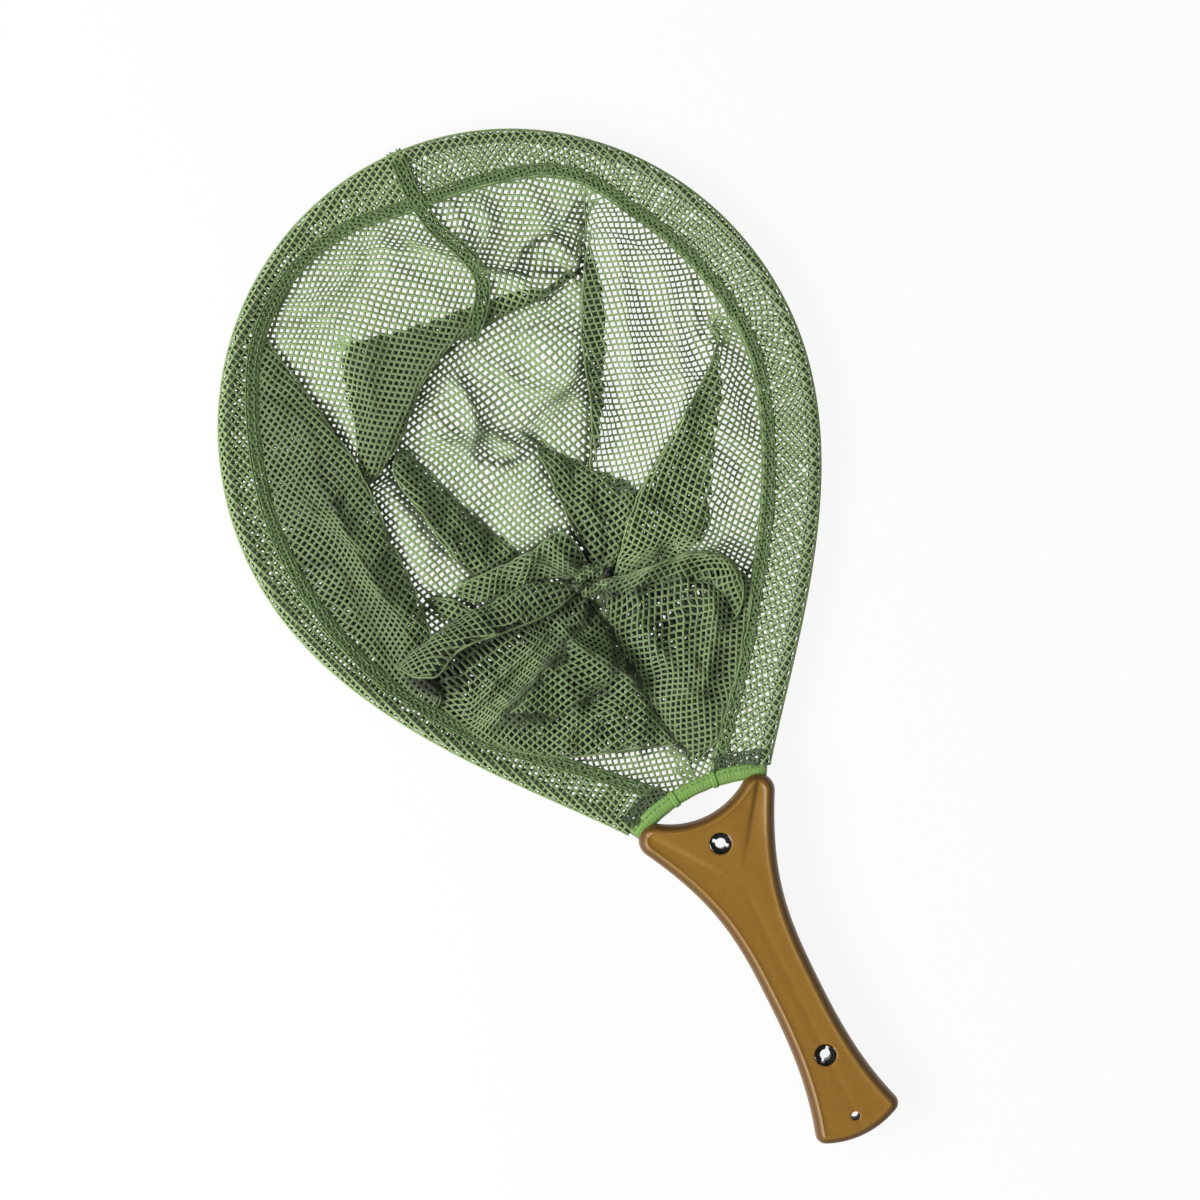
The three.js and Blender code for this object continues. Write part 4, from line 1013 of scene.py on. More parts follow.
def stitchRow(name, lines, spacing, thread):  # lines in mm
    points, edges = [], []
    for line in lines:
        edges += [(k, k + 1) for k in range(len(points), len(points) + len(line) - 1)]
        points += [[c * mm for c in p] for p in line]
    mesh = bpy.data.meshes.new(name)
    mesh.from_pydata(points, edges, [])
    piece = bpy.data.objects.new(name, mesh)
    scene.collection.objects.link(piece)
    runTree(piece, stitchTree, {"Spacing": spacing * mm, "Thread": thread * mm, "Share": dashShare,
                                "Material": sewingThread})
    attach(piece, "root")
    return piece


rows = []
for inset in (facing["stitchIn"], facing["width"] - facing["stitchOut"]):
    rows.append([(*hemPlace(step, hemReach[step] - inset),
                  hemTop(step, hemReach[step] - inset) + facing["lift"] + facing["strand"] * 0.5)
                 for step in range(hemFirst, hoopCount - hemFirst)])
stitches = stitchRow("facing_stitches", rows, facing["stitch"], facing["thread"])
report("facing_stitches: %d triangles" % triangleCount(stitches))

# Seam: a doubled strip that closes the bag, from the tip of the hoop over the hem to the edge of the tip fold
seam = {"line": [(7, 273), (7, 262), (6, 250), (7, 240), (9, 228), (16, 214), (20, 198), (13, 184), (-1, 171)],
        "width": 7.0, "step": 3.0, "hole": 3.0, "strand": 1.3, "edge": 1.0, "lift": 0.7, "ply": 0.8, "bridging": 3,
        "threads": 20, "stitch": 3.2, "thread": 0.7, "stitchLift": 0.6}
laying = {"hemParts": 8, "dropFrom": 60, "bare": 8.0}


def skyline():  # upper sides of the bag and the hem, to lay things on
    points = [Vector(p) for p in bag["points"]]
    faces = [tuple(f) for f in bag["faces"]]
    for step in range(hemFirst, hoopCount - 1 - hemFirst):
        for share in range(laying["hemParts"]):
            base = len(points)
            for at, part in ((step, share), (step + 1, share), (step + 1, share + 1), (step, share + 1)):
                inward = hemReach[at] * (part / laying["hemParts"])
                points.append(Vector((*hemPlace(at, inward), hemTop(at, inward))))
            faces.append((base, base + 1, base + 2, base + 3))
    return BVHTree.FromPolygons(points, faces)


topSide = skyline()


def heightAt(x, y):
    hit = topSide.ray_cast(Vector((x, y, laying["dropFrom"])), Vector((0, 0, -1)))
    return hit[0].z if hit[0] is not None else laying["bare"]


def layStrip(line, width, step, lift):  # rows across a line, each point laid on what is under it
    shares = (-0.5, -0.25, 0, 0.25, 0.5)
    places = softLine(line, step)
    ways = np.gradient(places, axis=0)
    ways /= np.linalg.norm(ways, axis=1)[:, None]
    rows, flats = [], []
    for k, (place, way) in enumerate(zip(places, ways)):
        side = np.array([way[1], -way[0]])
        spots = [place + side * width * share for share in shares]
        high = [heightAt(*spot) for spot in spots]
        mean = sum(high) / len(high)
        rows.append([(*spot, 0.5 * (z + mean) + lift) for spot, z in zip(spots, high)])
        flats.append([(width * share, k * step) for share in shares])
    return rows, flats


rows, flats = layStrip(seam["line"], seam["width"], seam["step"], seam["lift"])
heights = np.array([[p[2] for p in row] for row in rows])
for turn in range(seam["bridging"]):  # the strip is stiffer than the sheet, so it bridges small dips
    heights[1:-1] = np.maximum(heights[1:-1], 0.5 * heights[1:-1] + 0.25 * (heights[:-2] + heights[2:]))
doubled = []
for row, line in zip(rows, heights):
    under = [(p[0], p[1], z) for p, z in zip(row, line)]
    doubled.append(under + [(x, y, z + seam["ply"]) for x, y, z in under[::-1]])
flats = [row + [(seam["width"] + seam["ply"] - x, y) for x, y in row[::-1]] for row in flats]
marks = [0, 0, 0, 0, 0, 1.0, 0, 0, 0, 1.0]
piece, size, wide, tall, area = gridPiece("seam_strip", doubled, flats, marks, seam["threads"])
knitOver(piece, seam["hole"], seam["strand"], seam["edge"], size, wide, tall, closeKnit)
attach(piece, "root")
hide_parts("bag_seam")
length = len(rows) * seam["step"] * mm
sides = [[(*np.array(row[k][:2]), line[k] + seam["ply"] + seam["stitchLift"]) for row, line in zip(rows, heights)]
         for k in (1, 3)]
stitchRow("seam_stitches", sides, seam["stitch"], seam["thread"])
report("seam_strip: %d triangles" % triangleCount(piece))

# Gather: the bottom of the bag drawn together into pleats and bound with a few turns of thread
gather = {"centre": bagCloth["gatherAt"], "reach": 9.0, "rings": 10, "sides": 72, "hub": 0.08, "pleats": 7,
          "wander": 1.4, "twist": 0.25, "depth": 1.6, "peak": 0.6, "peakFall": 2.2, "ragged": 0.16, "raggedSize": 1.7,
          "lift": 0.6, "fullness": 1.5, "cut": 0.985, "shade": (0.45, 0.3, 1.2), "hole": 4.0, "strand": 1.5,
          "edge": 1.0, "threads": 15}
binding = {"turns": 3.5, "thread": 1.1, "neck": 5.2, "steps": 28, "from": 5.2, "rise": 1.0, "slack": (0.25, 2.3),
           "sides": 8}
centreX, centreY = gather["centre"]
middleHeight = max(heightAt(centreX + dx, centreY + dy) for dx in (-6, 0, 6) for dy in (-6, 0, 6))
turns = [2 * math.pi * j / gather["sides"] for j in range(gather["sides"] + 1)]


def pleatTurn(turn):
    return gather["pleats"] * turn + gather["wander"] * math.sin(3 * turn)


rows, flats = [], []
for i in range(gather["rings"]):
    out = gather["reach"] * (gather["hub"] + (1 - gather["hub"]) * i / (gather["rings"] - 1))
    share = out / gather["reach"]
    row, flat = [], []
    for turn in turns:
        cos, sin = math.cos(turn), math.sin(turn)
        pleat = math.sin(pleatTurn(turn) + gather["twist"] * i)
        uneven = noise.noise(Vector((cos * gather["raggedSize"], sin * gather["raggedSize"], 2.0)))
        reach = out * (1 + gather["ragged"] * uneven)
        x, y = centreX + reach * cos, centreY + reach * sin
        under = heightAt(x, y) + gather["lift"]
        high = (middleHeight + gather["peak"] * math.exp(-(share * gather["peakFall"]) ** 2)
                + gather["depth"] * pleat * math.sin(math.pi * min(1, share + 0.15)))
        row.append((x, y, max(under, high * (1 - share ** 2) + under * share ** 2)))
        wide, cut = out * gather["fullness"], turn * gather["cut"]
        flat.append((wide * math.cos(cut), wide * math.sin(cut)))
    rows.append(row)
    flats.append(flat)
# painted shade, darkest along the valleys between the pleats
mean, swing, shift = gather["shade"]
valleys = [mean - swing * math.sin(pleatTurn(turn) + shift) for turn in turns]
piece, size, wide, tall, area = gridPiece("bag_gather", rows, flats, [0.0] * len(turns), gather["threads"], valleys)
knitOver(piece, gather["hole"], gather["strand"], gather["edge"], size, wide, tall, netKnit)
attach(piece, "root")
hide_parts("bag_body")
slack, sway = binding["slack"]
coil = []
for k in range(int(binding["turns"] * binding["steps"]) + 1):
    turn = 2 * math.pi * k / binding["steps"]
    out = binding["neck"] + slack * math.sin(sway * turn)
    coil.append(Vector((centreX + out * math.cos(turn), centreY + out * math.sin(turn),
                        binding["from"] + binding["rise"] * turn / (2 * math.pi))))


def tubePiece(name, line, radius, sides):  # round tube along a line in mm, with closed ends
    points, faces = [], []
    for k, spot in enumerate(line):
        way = (line[min(k + 1, len(line) - 1)] - line[max(k - 1, 0)]).normalized()
        across = way.cross(Vector((0, 0, 1))).normalized()
        up = across.cross(way)
        for j in range(sides):
            turn = 2 * math.pi * j / sides
            points.append((spot + (across * math.cos(turn) + up * math.sin(turn)) * radius) * mm)
    for k in range(len(line) - 1):
        for j in range(sides):
            a, b = k * sides + j, k * sides + (j + 1) % sides
            faces.append((a, b, b + sides, a + sides))
    faces.append(tuple(range(sides))[::-1])
    faces.append(tuple(range((len(line) - 1) * sides, len(line) * sides)))
    return makePiece(name, points, faces)


tie = tubePiece("gather_thread", coil, binding["thread"] / 2, binding["sides"])
tie.data.materials.append(sewingThread)
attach(tie, "root")
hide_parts("gather_tie")
report("gather bound")

# Throat: an arched rod inside woven binding tape, in three lengths whose folded ends make two cuffs
# Plain woven polyester tape: fine ribs across its length, and a slight sheen on the top of the roll
throat = {"half": 35.8, "rise": 7.6, "endY": -86.6, "height": 11.0, "cuffAt": 0.3, "cuff": 3.2, "wide": 8.2,
          "midWide": 7.6, "high": 6.6, "cuffMore": (0.4, 0.6), "wall": 0.55, "step": 0.8, "sides": 40,
          "round": (0.75, 0.8), "dip": 0.35, "stitchAt": 0.22, "uneven": 0.18, "reach": 1.02, "stitch": 2.6,
          "thread": 0.6}
weave = {"rib": 0.9, "warp": 0.7, "patch": 7, "yarn": "#8FBA62", "shade": "#78A34C"}
wavesToTurns = 6.283
tapeWeave, tree = newMaterial("polyester tape, plain woven")
weaveMap = addNode(tree, "ShaderNodeAttribute", attribute_name="flat").outputs["Vector"]
ribs = addNode(tree, "ShaderNodeTexWave", {
    "Scale": 1 / (weave["rib"] * mm) / wavesToTurns, "Distortion": 0.6, "Detail": 1.0},
    {"Vector": weaveMap}, bands_direction="X")
warp = addNode(tree, "ShaderNodeTexWave", {
    "Scale": 1 / (weave["warp"] * mm) / wavesToTurns, "Distortion": 0.4, "Detail": 1.0},
    {"Vector": weaveMap}, bands_direction="Y")
crossing = addNode(tree, "ShaderNodeMath", links={0: ribs.outputs["Fac"], 1: warp.outputs["Fac"]},
                   operation="MULTIPLY")
where = addNode(tree, "ShaderNodeTexCoord").outputs["Object"]
cloud = addNode(tree, "ShaderNodeTexNoise", {"Scale": 1000 / weave["patch"], "Detail": 3.0}, {"Vector": where})
blend = addNode(tree, "ShaderNodeMath", {1: 0.6}, {0: cloud.outputs["Fac"]}, operation="MULTIPLY")
fade = addNode(tree, "ShaderNodeMath", {1: 0.4}, {0: crossing.outputs[0], 2: blend.outputs[0]},
               operation="MULTIPLY_ADD")
colour = addNode(tree, "ShaderNodeMix", {6: toLinear(weave["shade"]), 7: toLinear(weave["yarn"])},
                 {0: fade.outputs[0]}, data_type="RGBA")
bump = addNode(tree, "ShaderNodeBump", {"Strength": 0.5, "Distance": 0.0003}, {"Height": crossing.outputs[0]})
shader = addNode(tree, "ShaderNodeBsdfPrincipled", {"Roughness": 0.62, "Sheen Weight": 0.2, "Sheen Roughness": 0.4},
                 {"Base Color": colour.outputs[2], "Normal": bump.outputs["Normal"]})
addNode(tree, "ShaderNodeOutputMaterial", links={"Surface": shader.outputs["BSDF"]})

throatRadius = (throat["half"] ** 2 + throat["rise"] ** 2) / (2 * throat["rise"])


def throatPlace(share):  # point and way along the arch, share from -1 at the left arm to 1 at the right
    turn = share * math.asin(throat["half"] / throatRadius)
    y = throat["endY"] + throat["rise"] - throatRadius * (1 - math.cos(turn))
    return Vector((throatRadius * math.sin(turn), y)), Vector((math.sin(turn), math.cos(turn)))


def tapePiece(name, start, end, wide, high, swell):  # flattened roll of tape; swell gives the section along its length
    count = max(6, round(abs(end - start) * throat["half"] / throat["step"]))
    sides = throat["sides"]
    roundAcross, roundUp = throat["round"]
    rows, flats = [], []
    for i in range(count + 1):
        share = start + (end - start) * i / count
        place, out = throatPlace(share)
        grow = swell(i / count)
        row, flat = [], []
        for j in range(sides + 1):
            turn = 2 * math.pi * j / sides - math.pi / 2
            cos, sin = math.cos(turn), math.sin(turn)
            across = math.copysign(abs(cos) ** roundAcross, cos) * wide / 2 * grow
            up = math.copysign(abs(sin) ** roundUp, sin) * high / 2 * grow
            fromStitch = (across - wide * throat["stitchAt"]) / 0.5
            stitchDip = throat["dip"] * math.exp(-fromStitch ** 2) if sin > 0 else 0.0
            uneven = throat["uneven"] * noise.noise(Vector((share * 9, cos * 1.5, sin * 1.5 + start * 7)))
            row.append((place.x + out.x * (across + uneven), place.y + out.y * (across + uneven),
                        throat["height"] + up - stitchDip + uneven))
            flat.append((share * throat["half"], j / sides * 2.4 * (wide + high) / 2))
        rows.append(row)
        flats.append(flat)
    points = [[v * mm for v in p] for row in rows for p in row[:-1]]
    faces = [(r * sides + c, r * sides + (c + 1) % sides, (r + 1) * sides + (c + 1) % sides, (r + 1) * sides + c)
             for r in range(count) for c in range(sides)]
    piece = makePiece(name, points, faces)
    layer = piece.data.uv_layers.new(name="flat")
    spots = []
    for r in range(count):
        for c in range(sides):
            spots += [flats[r][c], flats[r][c + 1], flats[r + 1][c + 1], flats[r + 1][c]]
    layer.uv.foreach_set("vector", (np.array(spots) * mm).astype(np.float32).ravel())
    area = faceArea(piece)
    wall = piece.modifiers.new("wall", "SOLIDIFY")
    wall.thickness = throat["wall"] * mm
    wall.offset = -1
    bakePiece(piece)
    piece.data.materials.append(tapeWeave)
    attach(piece, "root")
    return piece, area


def pinched(share):  # a length of tape is drawn in a little where its ends are folded
    return 1 - 0.07 * math.exp(-min(share, 1 - share) * 9)


def rolled(share):  # a cuff is a short fat roll with two lips
    waist = 0.06 * math.exp(-((share - 0.5) / 0.1) ** 2)
    return 0.92 + 0.13 * math.sin(math.pi * min(1, max(0, share))) ** 0.4 - waist


cuffHalf = throat["cuff"] / 2 / throat["half"]
moreWide, moreHigh = throat["cuffMore"]
cuffs = {}
for side, at in (("left", -throat["cuffAt"]), ("right", throat["cuffAt"])):
    cuffs[side], area = tapePiece("binding_cuff_" + side, at - cuffHalf, at + cuffHalf, throat["wide"] + moreWide,
                                  throat["high"] + moreHigh, rolled)
    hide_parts("throat_cuff_" + side)
foldedIn = throat["cuffAt"] - cuffHalf * 0.6
foldedOut = foldedIn + cuffHalf * 1.2
for side, start, end, wide in (("left", -throat["reach"], -foldedOut, throat["wide"]),
                               ("mid", -foldedIn, foldedIn, throat["midWide"]),
                               ("right", foldedOut, throat["reach"], throat["wide"])):
    piece, area = tapePiece("binding_tape_" + side, start, end, wide, throat["high"], pinched)
    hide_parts("throat_tape_" + side)
    length = (end - start) * throat["half"] * mm
rows = []
for start, end in ((-0.98, -0.38), (-0.24, 0.24), (0.38, 0.98)):
    row = []
    for i in range(30):
        place, out = throatPlace(start + (end - start) * i / 29)
        row.append((*(place + out * throat["wide"] * throat["stitchAt"]),
                    throat["height"] + throat["high"] / 2 - 0.1))
    rows.append(row)
stitchRow("binding_stitches", rows, throat["stitch"], throat["thread"])
report("throat bound")

# Raw edge of the net above the binding: a narrow crumpled ruff of close cloth on both sides of the throat
# Cut polyester net: loose ends stand up along it, so it looks dull and uneven
ruff = {"from": 0.34, "to": 1.06, "start": 0.36, "width": 7.0, "steps": 22, "rows": 6, "wave": 0.8, "lift": 1.2,
        "top": 12.4, "fall": 0.5, "hole": 2.8, "strand": 1.15, "edge": 1.2, "threads": 25}
ruffLook = {"yarn": "#5C6E4A", "shade": "#43543A", "patch": 8, "fibre": 0.4}
ruffKnit = knitMaterial("polyester net, cut edge", **ruffLook)
for name, sign in (("throat_ruff_left", -1), ("throat_ruff_right", 1)):
    rows, flats = [], []
    for i in range(ruff["steps"] + 1):
        share = sign * (ruff["from"] + (ruff["to"] - ruff["from"]) * i / ruff["steps"])
        place, out = throatPlace(share)
        row, flat = [], []
        for j in range(ruff["rows"] + 1):
            across = throat["wide"] * ruff["start"] + ruff["width"] * j / ruff["rows"]
            wave = noise.noise(Vector((share * 16, j * 0.7, sign * 3.0)))
            spot = place + out * (across + ruff["wave"] * wave)
            row.append((*spot, max(heightAt(*spot) + ruff["lift"] + ruff["wave"] * wave,
                                   ruff["top"] + wave - ruff["fall"] * j)))
            flat.append((share * throat["half"], across))
        rows.append(row)
        flats.append(flat)
    piece, size, wide, tall, area = gridPiece(name, rows, flats, [1.0, 0, 0, 0, 0, 0, 1.0], ruff["threads"])
    knitOver(piece, ruff["hole"], ruff["strand"], ruff["edge"], size, wide, tall, ruffKnit)
    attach(piece, "root")
report("raw edges laid")

# Handle: two moulded shells, notched yoke with a socket ridge in each arm, waisted grip, flared butt
handle = {"armCentre": (28.416, -94.184), "armRadius": 8.584, "armEnd": -0.5, "notch": -94.36, "corner": 5.175,
          "cornerAt": (17.325, -263.053), "cornerStart": 0.3, "buttY": -272.0, "waist": (13.75, -195.576),
          "pulls": (45.7, 35.4, 29.8, 18.6), "thick": 11.0, "gap": 0.1, "draft": 0.5, "inset": 4.4, "drop": 6.4,
          "crease": 0.28, "creaseWide": 1.6, "creaseTop": -138.0, "creaseRun": 12, "bead": 0.35, "beadWide": 0.7,
          "groove": ((31.8, -89.0), (4.2, -127.0)), "grooveDepth": 1.7, "grooveSides": (2.4, 9.0),
          "bores": ((0, -109.46, 5.5), (0, -227.08, 5.5), (0, -260.8, 2.2)), "lip": 0.5, "lipWide": 0.7, "step": 1.5,
          "rings": (0, 0.14, 0.5, 0.75, 1.05, 1.45, 1.95, 2.5, 3.05, 3.6, 4.0, 4.4, 4.75, 5.05),
          "boreRings": (0, 0.12, 0.35, 0.7, 1.3), "grid": (1.6, 1.4), "sharp": 50, "edgeRun": 6}


def handleLine():  # outline seen from above, anticlockwise, at an even step
    arm, radius = Vector(handle["armCentre"]), handle["armRadius"]
    dip = arm.y - handle["notch"]
    notchRadius = (arm.x ** 2 + dip ** 2 - radius ** 2) / (2 * (radius + dip))
    notchTurn = math.atan2(arm.x, notchRadius - dip)
    corner, cornerRadius = Vector(handle["cornerAt"]), handle["corner"]
    rise = corner.y - handle["buttY"]
    endRadius = (corner.x ** 2 + rise ** 2 - cornerRadius ** 2) / (2 * (rise - cornerRadius))
    endTurn = math.atan2(corner.x, endRadius - rise)
    neck, waistUp, waistDown, flarePull = handle["pulls"]

    def arc(centre, size, start, end):
        return [centre + Vector((math.cos(a), math.sin(a))) * size for a in np.linspace(start, end, 40)]

    quarter = math.pi / 2
    half = arc(Vector((0, handle["notch"] + notchRadius)), notchRadius, -quarter, -quarter + notchTurn)
    half += arc(arm, radius, quarter + notchTurn, handle["armEnd"])
    foot, waist = half[-1], Vector(handle["waist"])
    flare = corner + Vector((math.cos(handle["cornerStart"]), math.sin(handle["cornerStart"]))) * cornerRadius
    lean = Vector((math.sin(handle["armEnd"]), -math.cos(handle["armEnd"])))
    half += interpolate_bezier(foot, foot + lean * neck, waist + Vector((0, waistUp)), waist, 80)
    tilt = Vector((-math.sin(handle["cornerStart"]), math.cos(handle["cornerStart"])))
    half += interpolate_bezier(waist, waist - Vector((0, waistDown)), flare + tilt * flarePull, flare, 80)
    half += arc(corner, cornerRadius, handle["cornerStart"], -quarter + endTurn)
    half += arc(Vector((0, handle["buttY"] + endRadius)), endRadius, -quarter + endTurn, -quarter)
    half = [Vector(p[:2]) for p in half]
    whole = half + [Vector((-p.x, p.y)) for p in reversed(half)]
    line = [whole[0]]
    for p in whole[1:]:
        if (p - line[-1]).length > 0.01:
            line.append(p)
    return walk(line[:-1], handle["step"], True)[::-1]


def grooveLine():  # start, way and length of the groove beside the socket ridge of the right arm
    start, end = (np.array(p) for p in handle["groove"])
    length = np.linalg.norm(end - start)
    return start, (end - start) / length, length


def faceHeight(spots, depth):  # height of a shell's outer skin over the parting plane
    full = handle["thick"] - handle["gap"]
    shoulder = full - handle["drop"]
    share = np.clip((depth - handle["draft"]) / (handle["inset"] - handle["draft"]), 0, 1)
    height = np.where(depth < handle["draft"], np.clip(depth / handle["draft"], 0, 1) * shoulder,
                      shoulder + handle["drop"] * np.sqrt(np.clip(1 - (1 - share) ** 2, 0, 1)))
    panel = smooth(handle["inset"] - 1.0, handle["inset"] + 1.5, depth)
    top, run = handle["creaseTop"], handle["creaseRun"]
    grip = 1 - smooth(top - run, top + run, spots[:, 1])
    height -= handle["crease"] * np.exp(-((spots[:, 0] - 0.4) / handle["creaseWide"]) ** 2) * panel * grip
    height += handle["bead"] * np.exp(-((depth - handle["inset"]) / handle["beadWide"]) ** 2)
    start, way, length = grooveLine()
    steep, slow = handle["grooveSides"]
    gap = np.column_stack([np.abs(spots[:, 0]), spots[:, 1]]) - start
    along = gap @ way / length
    aside = gap @ np.array([way[1], -way[0]])
    deep = handle["grooveDepth"] * np.clip(1 - along, 0, 1) ** 0.8 * smooth(-0.12, 0.08, along)
    cut = np.where(aside > 0, 1 - smooth(0.0, steep, aside), 1 - smooth(0.0, slow, -aside))
    height -= deep * cut * smooth(0.8, 3.0, depth)
    lip = handle["lipWide"]
    for x, y, radius in handle["bores"]:
        ring = np.hypot(spots[:, 0] - x, spots[:, 1] - y) - radius
        rounded = 1 - np.sqrt(np.clip(1 - np.clip(1 - ring / lip, 0, 1) ** 2, 0, 1))
        height -= handle["lip"] * rounded * (ring < lip)
    return height


def shellPiece(name, back):
    line = handleLine()
    ahead, behind = np.roll(line, -1, axis=0), np.roll(line, 1, axis=0)
    along = (ahead - behind) / np.linalg.norm(ahead - behind, axis=1)[:, None]
    inward = np.column_stack([-along[:, 1], along[:, 0]])
    points, edges = [line], []
    count = len(line)
    for ring in handle["rings"][1:]:
        spots = line + inward * ring
        inside, depth = insideAndDepth(spots, line)
        kept = np.nonzero(inside & (np.abs(depth - ring) < 0.06 * ring + 0.01))[0]
        edges += [(count + a, count + a + 1) for a in range(len(kept) - 1) if kept[a + 1] == kept[a] + 1]
        points.append(spots[kept])
        count += len(kept)
    start, way, length = grooveLine()
    panelSide = np.array([way[1], -way[0]])
    ridges = []
    for aside in (-9.0, -7.0, -5.2, -3.4, -1.8, -0.7, 0.0, 0.5, 1.1, 1.75, 2.4):
        run = start + way * np.linspace(0, 1, 40)[:, None] * length + panelSide * aside
        ridges += [run, run * (-1, 1)]
    ridges = np.vstack(ridges)
    inside, depth = insideAndDepth(ridges, line)
    ridges = ridges[inside & (depth > handle["rings"][-1] + 0.3)]
    circles = []
    for x, y, radius in handle["bores"]:
        sides = 56 if radius > 3 else 32
        turns = np.linspace(0, 2 * math.pi, sides, endpoint=False)
        circles.append([np.column_stack([x + (radius + grow) * np.cos(turns), y + (radius + grow) * np.sin(turns)])
                        for grow in handle["boreRings"]])
    low, high = line.min(axis=0), line.max(axis=0)
    gridX, gridY = handle["grid"]
    lattice = np.array([(x + gridX / 2 * (j % 2), y) for j, y in enumerate(np.arange(low[1], high[1], gridY))
                        for x in np.arange(low[0], high[0], gridX)])
    inside, depth = insideAndDepth(lattice, line)
    clear = inside & (depth > handle["rings"][-1] + 0.7)
    nearRidge = np.array([np.min(np.hypot(*(ridges - p).T)) for p in lattice[clear]])
    lattice = lattice[clear][nearRidge > 0.9]
    for (x, y, radius) in handle["bores"]:
        lattice = lattice[np.hypot(lattice[:, 0] - x, lattice[:, 1] - y) > radius + 2.0]
    boreRings = []
    for rings in circles:
        boreRings.append(range(count, count + len(rings[0])))
        for ring in rings:
            edges += [(count + k, count + (k + 1) % len(ring)) for k in range(len(ring))]
            points.append(ring)
            count += len(ring)
    every = np.vstack(points + [ridges, lattice])
    loop = list(range(len(line)))

    def triangulate(spots, sides):
        made = delaunay_2d_cdt([Vector(p) for p in spots], sides, [loop], 1, 1e-5)
        origin = [source[0] for source in made[3]]
        tris = [tuple(origin[k] for k in tri) for tri in made[2]]
        middle = np.array([spots[list(tri)].mean(axis=0) for tri in tris])
        solid = np.ones(len(tris), bool)
        for x, y, radius in handle["bores"]:
            solid &= np.hypot(middle[:, 0] - x, middle[:, 1] - y) > radius * 0.995
        return [tri for tri, keep in zip(tris, solid) if keep]

    inside, depth = insideAndDepth(every, line)
    depth = np.where(np.arange(len(every)) < len(line), 0, depth)
    height = faceHeight(every, depth)
    faces = triangulate(every, edges)
    verts = [(x, y, z) for (x, y), z in zip(every, height)]
    # parting face, and the walls of the bores down to it
    low = [line] + [rings[0] for rings in circles]
    flatSpots = np.vstack(low)
    sides, at, lowIndex = [], len(line), list(loop)
    for ring, rings in zip(boreRings, circles):
        base = len(verts)
        verts += [(x, y, 0.0) for x, y in rings[0]]
        lowIndex += list(range(base, base + len(rings[0])))
        sides += [(at + k, at + (k + 1) % len(ring)) for k in range(len(ring))]
        at += len(ring)
        ring = list(ring)
        for k in range(len(ring)):
            n = (k + 1) % len(ring)
            faces.append((ring[n], ring[k], base + k, base + n))
    faces += [tuple(lowIndex[k] for k in tri)[::-1] for tri in triangulate(flatSpots, sides)]
    sign = -1 if back else 1
    lift = hoop["height"] + sign * handle["gap"]
    if back:
        faces = [face[::-1] for face in faces]
    piece = makePiece(name, [(x * mm, y * mm, (lift + sign * z) * mm) for x, y, z in verts], faces)
    piece.data.set_sharp_from_angle(angle=math.radians(handle["sharp"]))
    depthOf = list(depth) + [9.0] * (len(verts) - len(every))
    # painted shade: the wall of the lanyard hole takes a dark tone of the edge shade
    for k in list(boreRings[-1]) + list(range(len(verts) - len(circles[-1][0]), len(verts))):
        depthOf[k] = 1.9  # the lanyard hole is as dark inside as the handle's sides
    markPoints(piece, "fromEdge", [min(1.0, d / handle["edgeRun"]) for d in depthOf])
    return piece


# Polypropylene, injection moulded with a fine grain: satin, with faint flow marks along the grip; painted shade
# darkens it along the edge where the side turns under, and a painted highlight lightens it along the shoulder
plastic = {"main": "#A27829", "flow": "#93691F", "side": "#4A2903", "crestHighlight": "#B58A3C", "grain": 0.8, "marks": 14,
           "highlightAt": 0.68, "highlightWide": 0.09,
           "edgeShade": ((0, 0.55), (0.9, 0.62), (1.9, 0.8), (2.8, 0.55), (3.7, 0.08), (6, 0))}
mouldedPlastic, tree = newMaterial("polypropylene, moulded with a fine grain")
where = addNode(tree, "ShaderNodeTexCoord").outputs["Object"]
drawn = addNode(tree, "ShaderNodeMapping", {"Scale": (1, 0.22, 1)}, {"Vector": where})
marks = addNode(tree, "ShaderNodeTexNoise", {"Scale": 1000 / plastic["marks"], "Detail": 4.0},
                {"Vector": drawn.outputs[0]})
body = addNode(tree, "ShaderNodeMix", {6: toLinear(plastic["flow"]), 7: toLinear(plastic["main"])},
               {0: marks.outputs["Fac"]}, data_type="RGBA")
edge = addNode(tree, "ShaderNodeAttribute", attribute_name="fromEdge")
# painted shade: the side colour darkens the edge and side by this ramp, darkest in a band about 2 mm in
edgeShadeRamp = addNode(tree, "ShaderNodeValToRGB", links={"Fac": edge.outputs["Fac"]})
stops = edgeShadeRamp.color_ramp.elements
for k, (depth, dark) in enumerate(plastic["edgeShade"]):
    stop = stops[k] if k < 2 else stops.new(depth / handle["edgeRun"])
    stop.position, stop.color = depth / handle["edgeRun"], (dark, dark, dark, 1)
grain = addNode(tree, "ShaderNodeTexNoise", {"Scale": 1000 / plastic["grain"], "Detail": 2.0}, {"Vector": where})
speck = addNode(tree, "ShaderNodeMapRange", {"From Min": 0.35, "From Max": 0.75, "To Min": 0.0, "To Max": 0.22},
                {"Value": grain.outputs["Fac"]})
grainy = addNode(tree, "ShaderNodeMix", {7: toLinear(plastic["side"])}, {0: speck.outputs[0], 6: body.outputs[2]},
                 data_type="RGBA")
edgeShaded = addNode(tree, "ShaderNodeMix", {7: toLinear(plastic["side"])},
                {0: edgeShadeRamp.outputs["Color"], 6: grainy.outputs[2]}, data_type="RGBA")
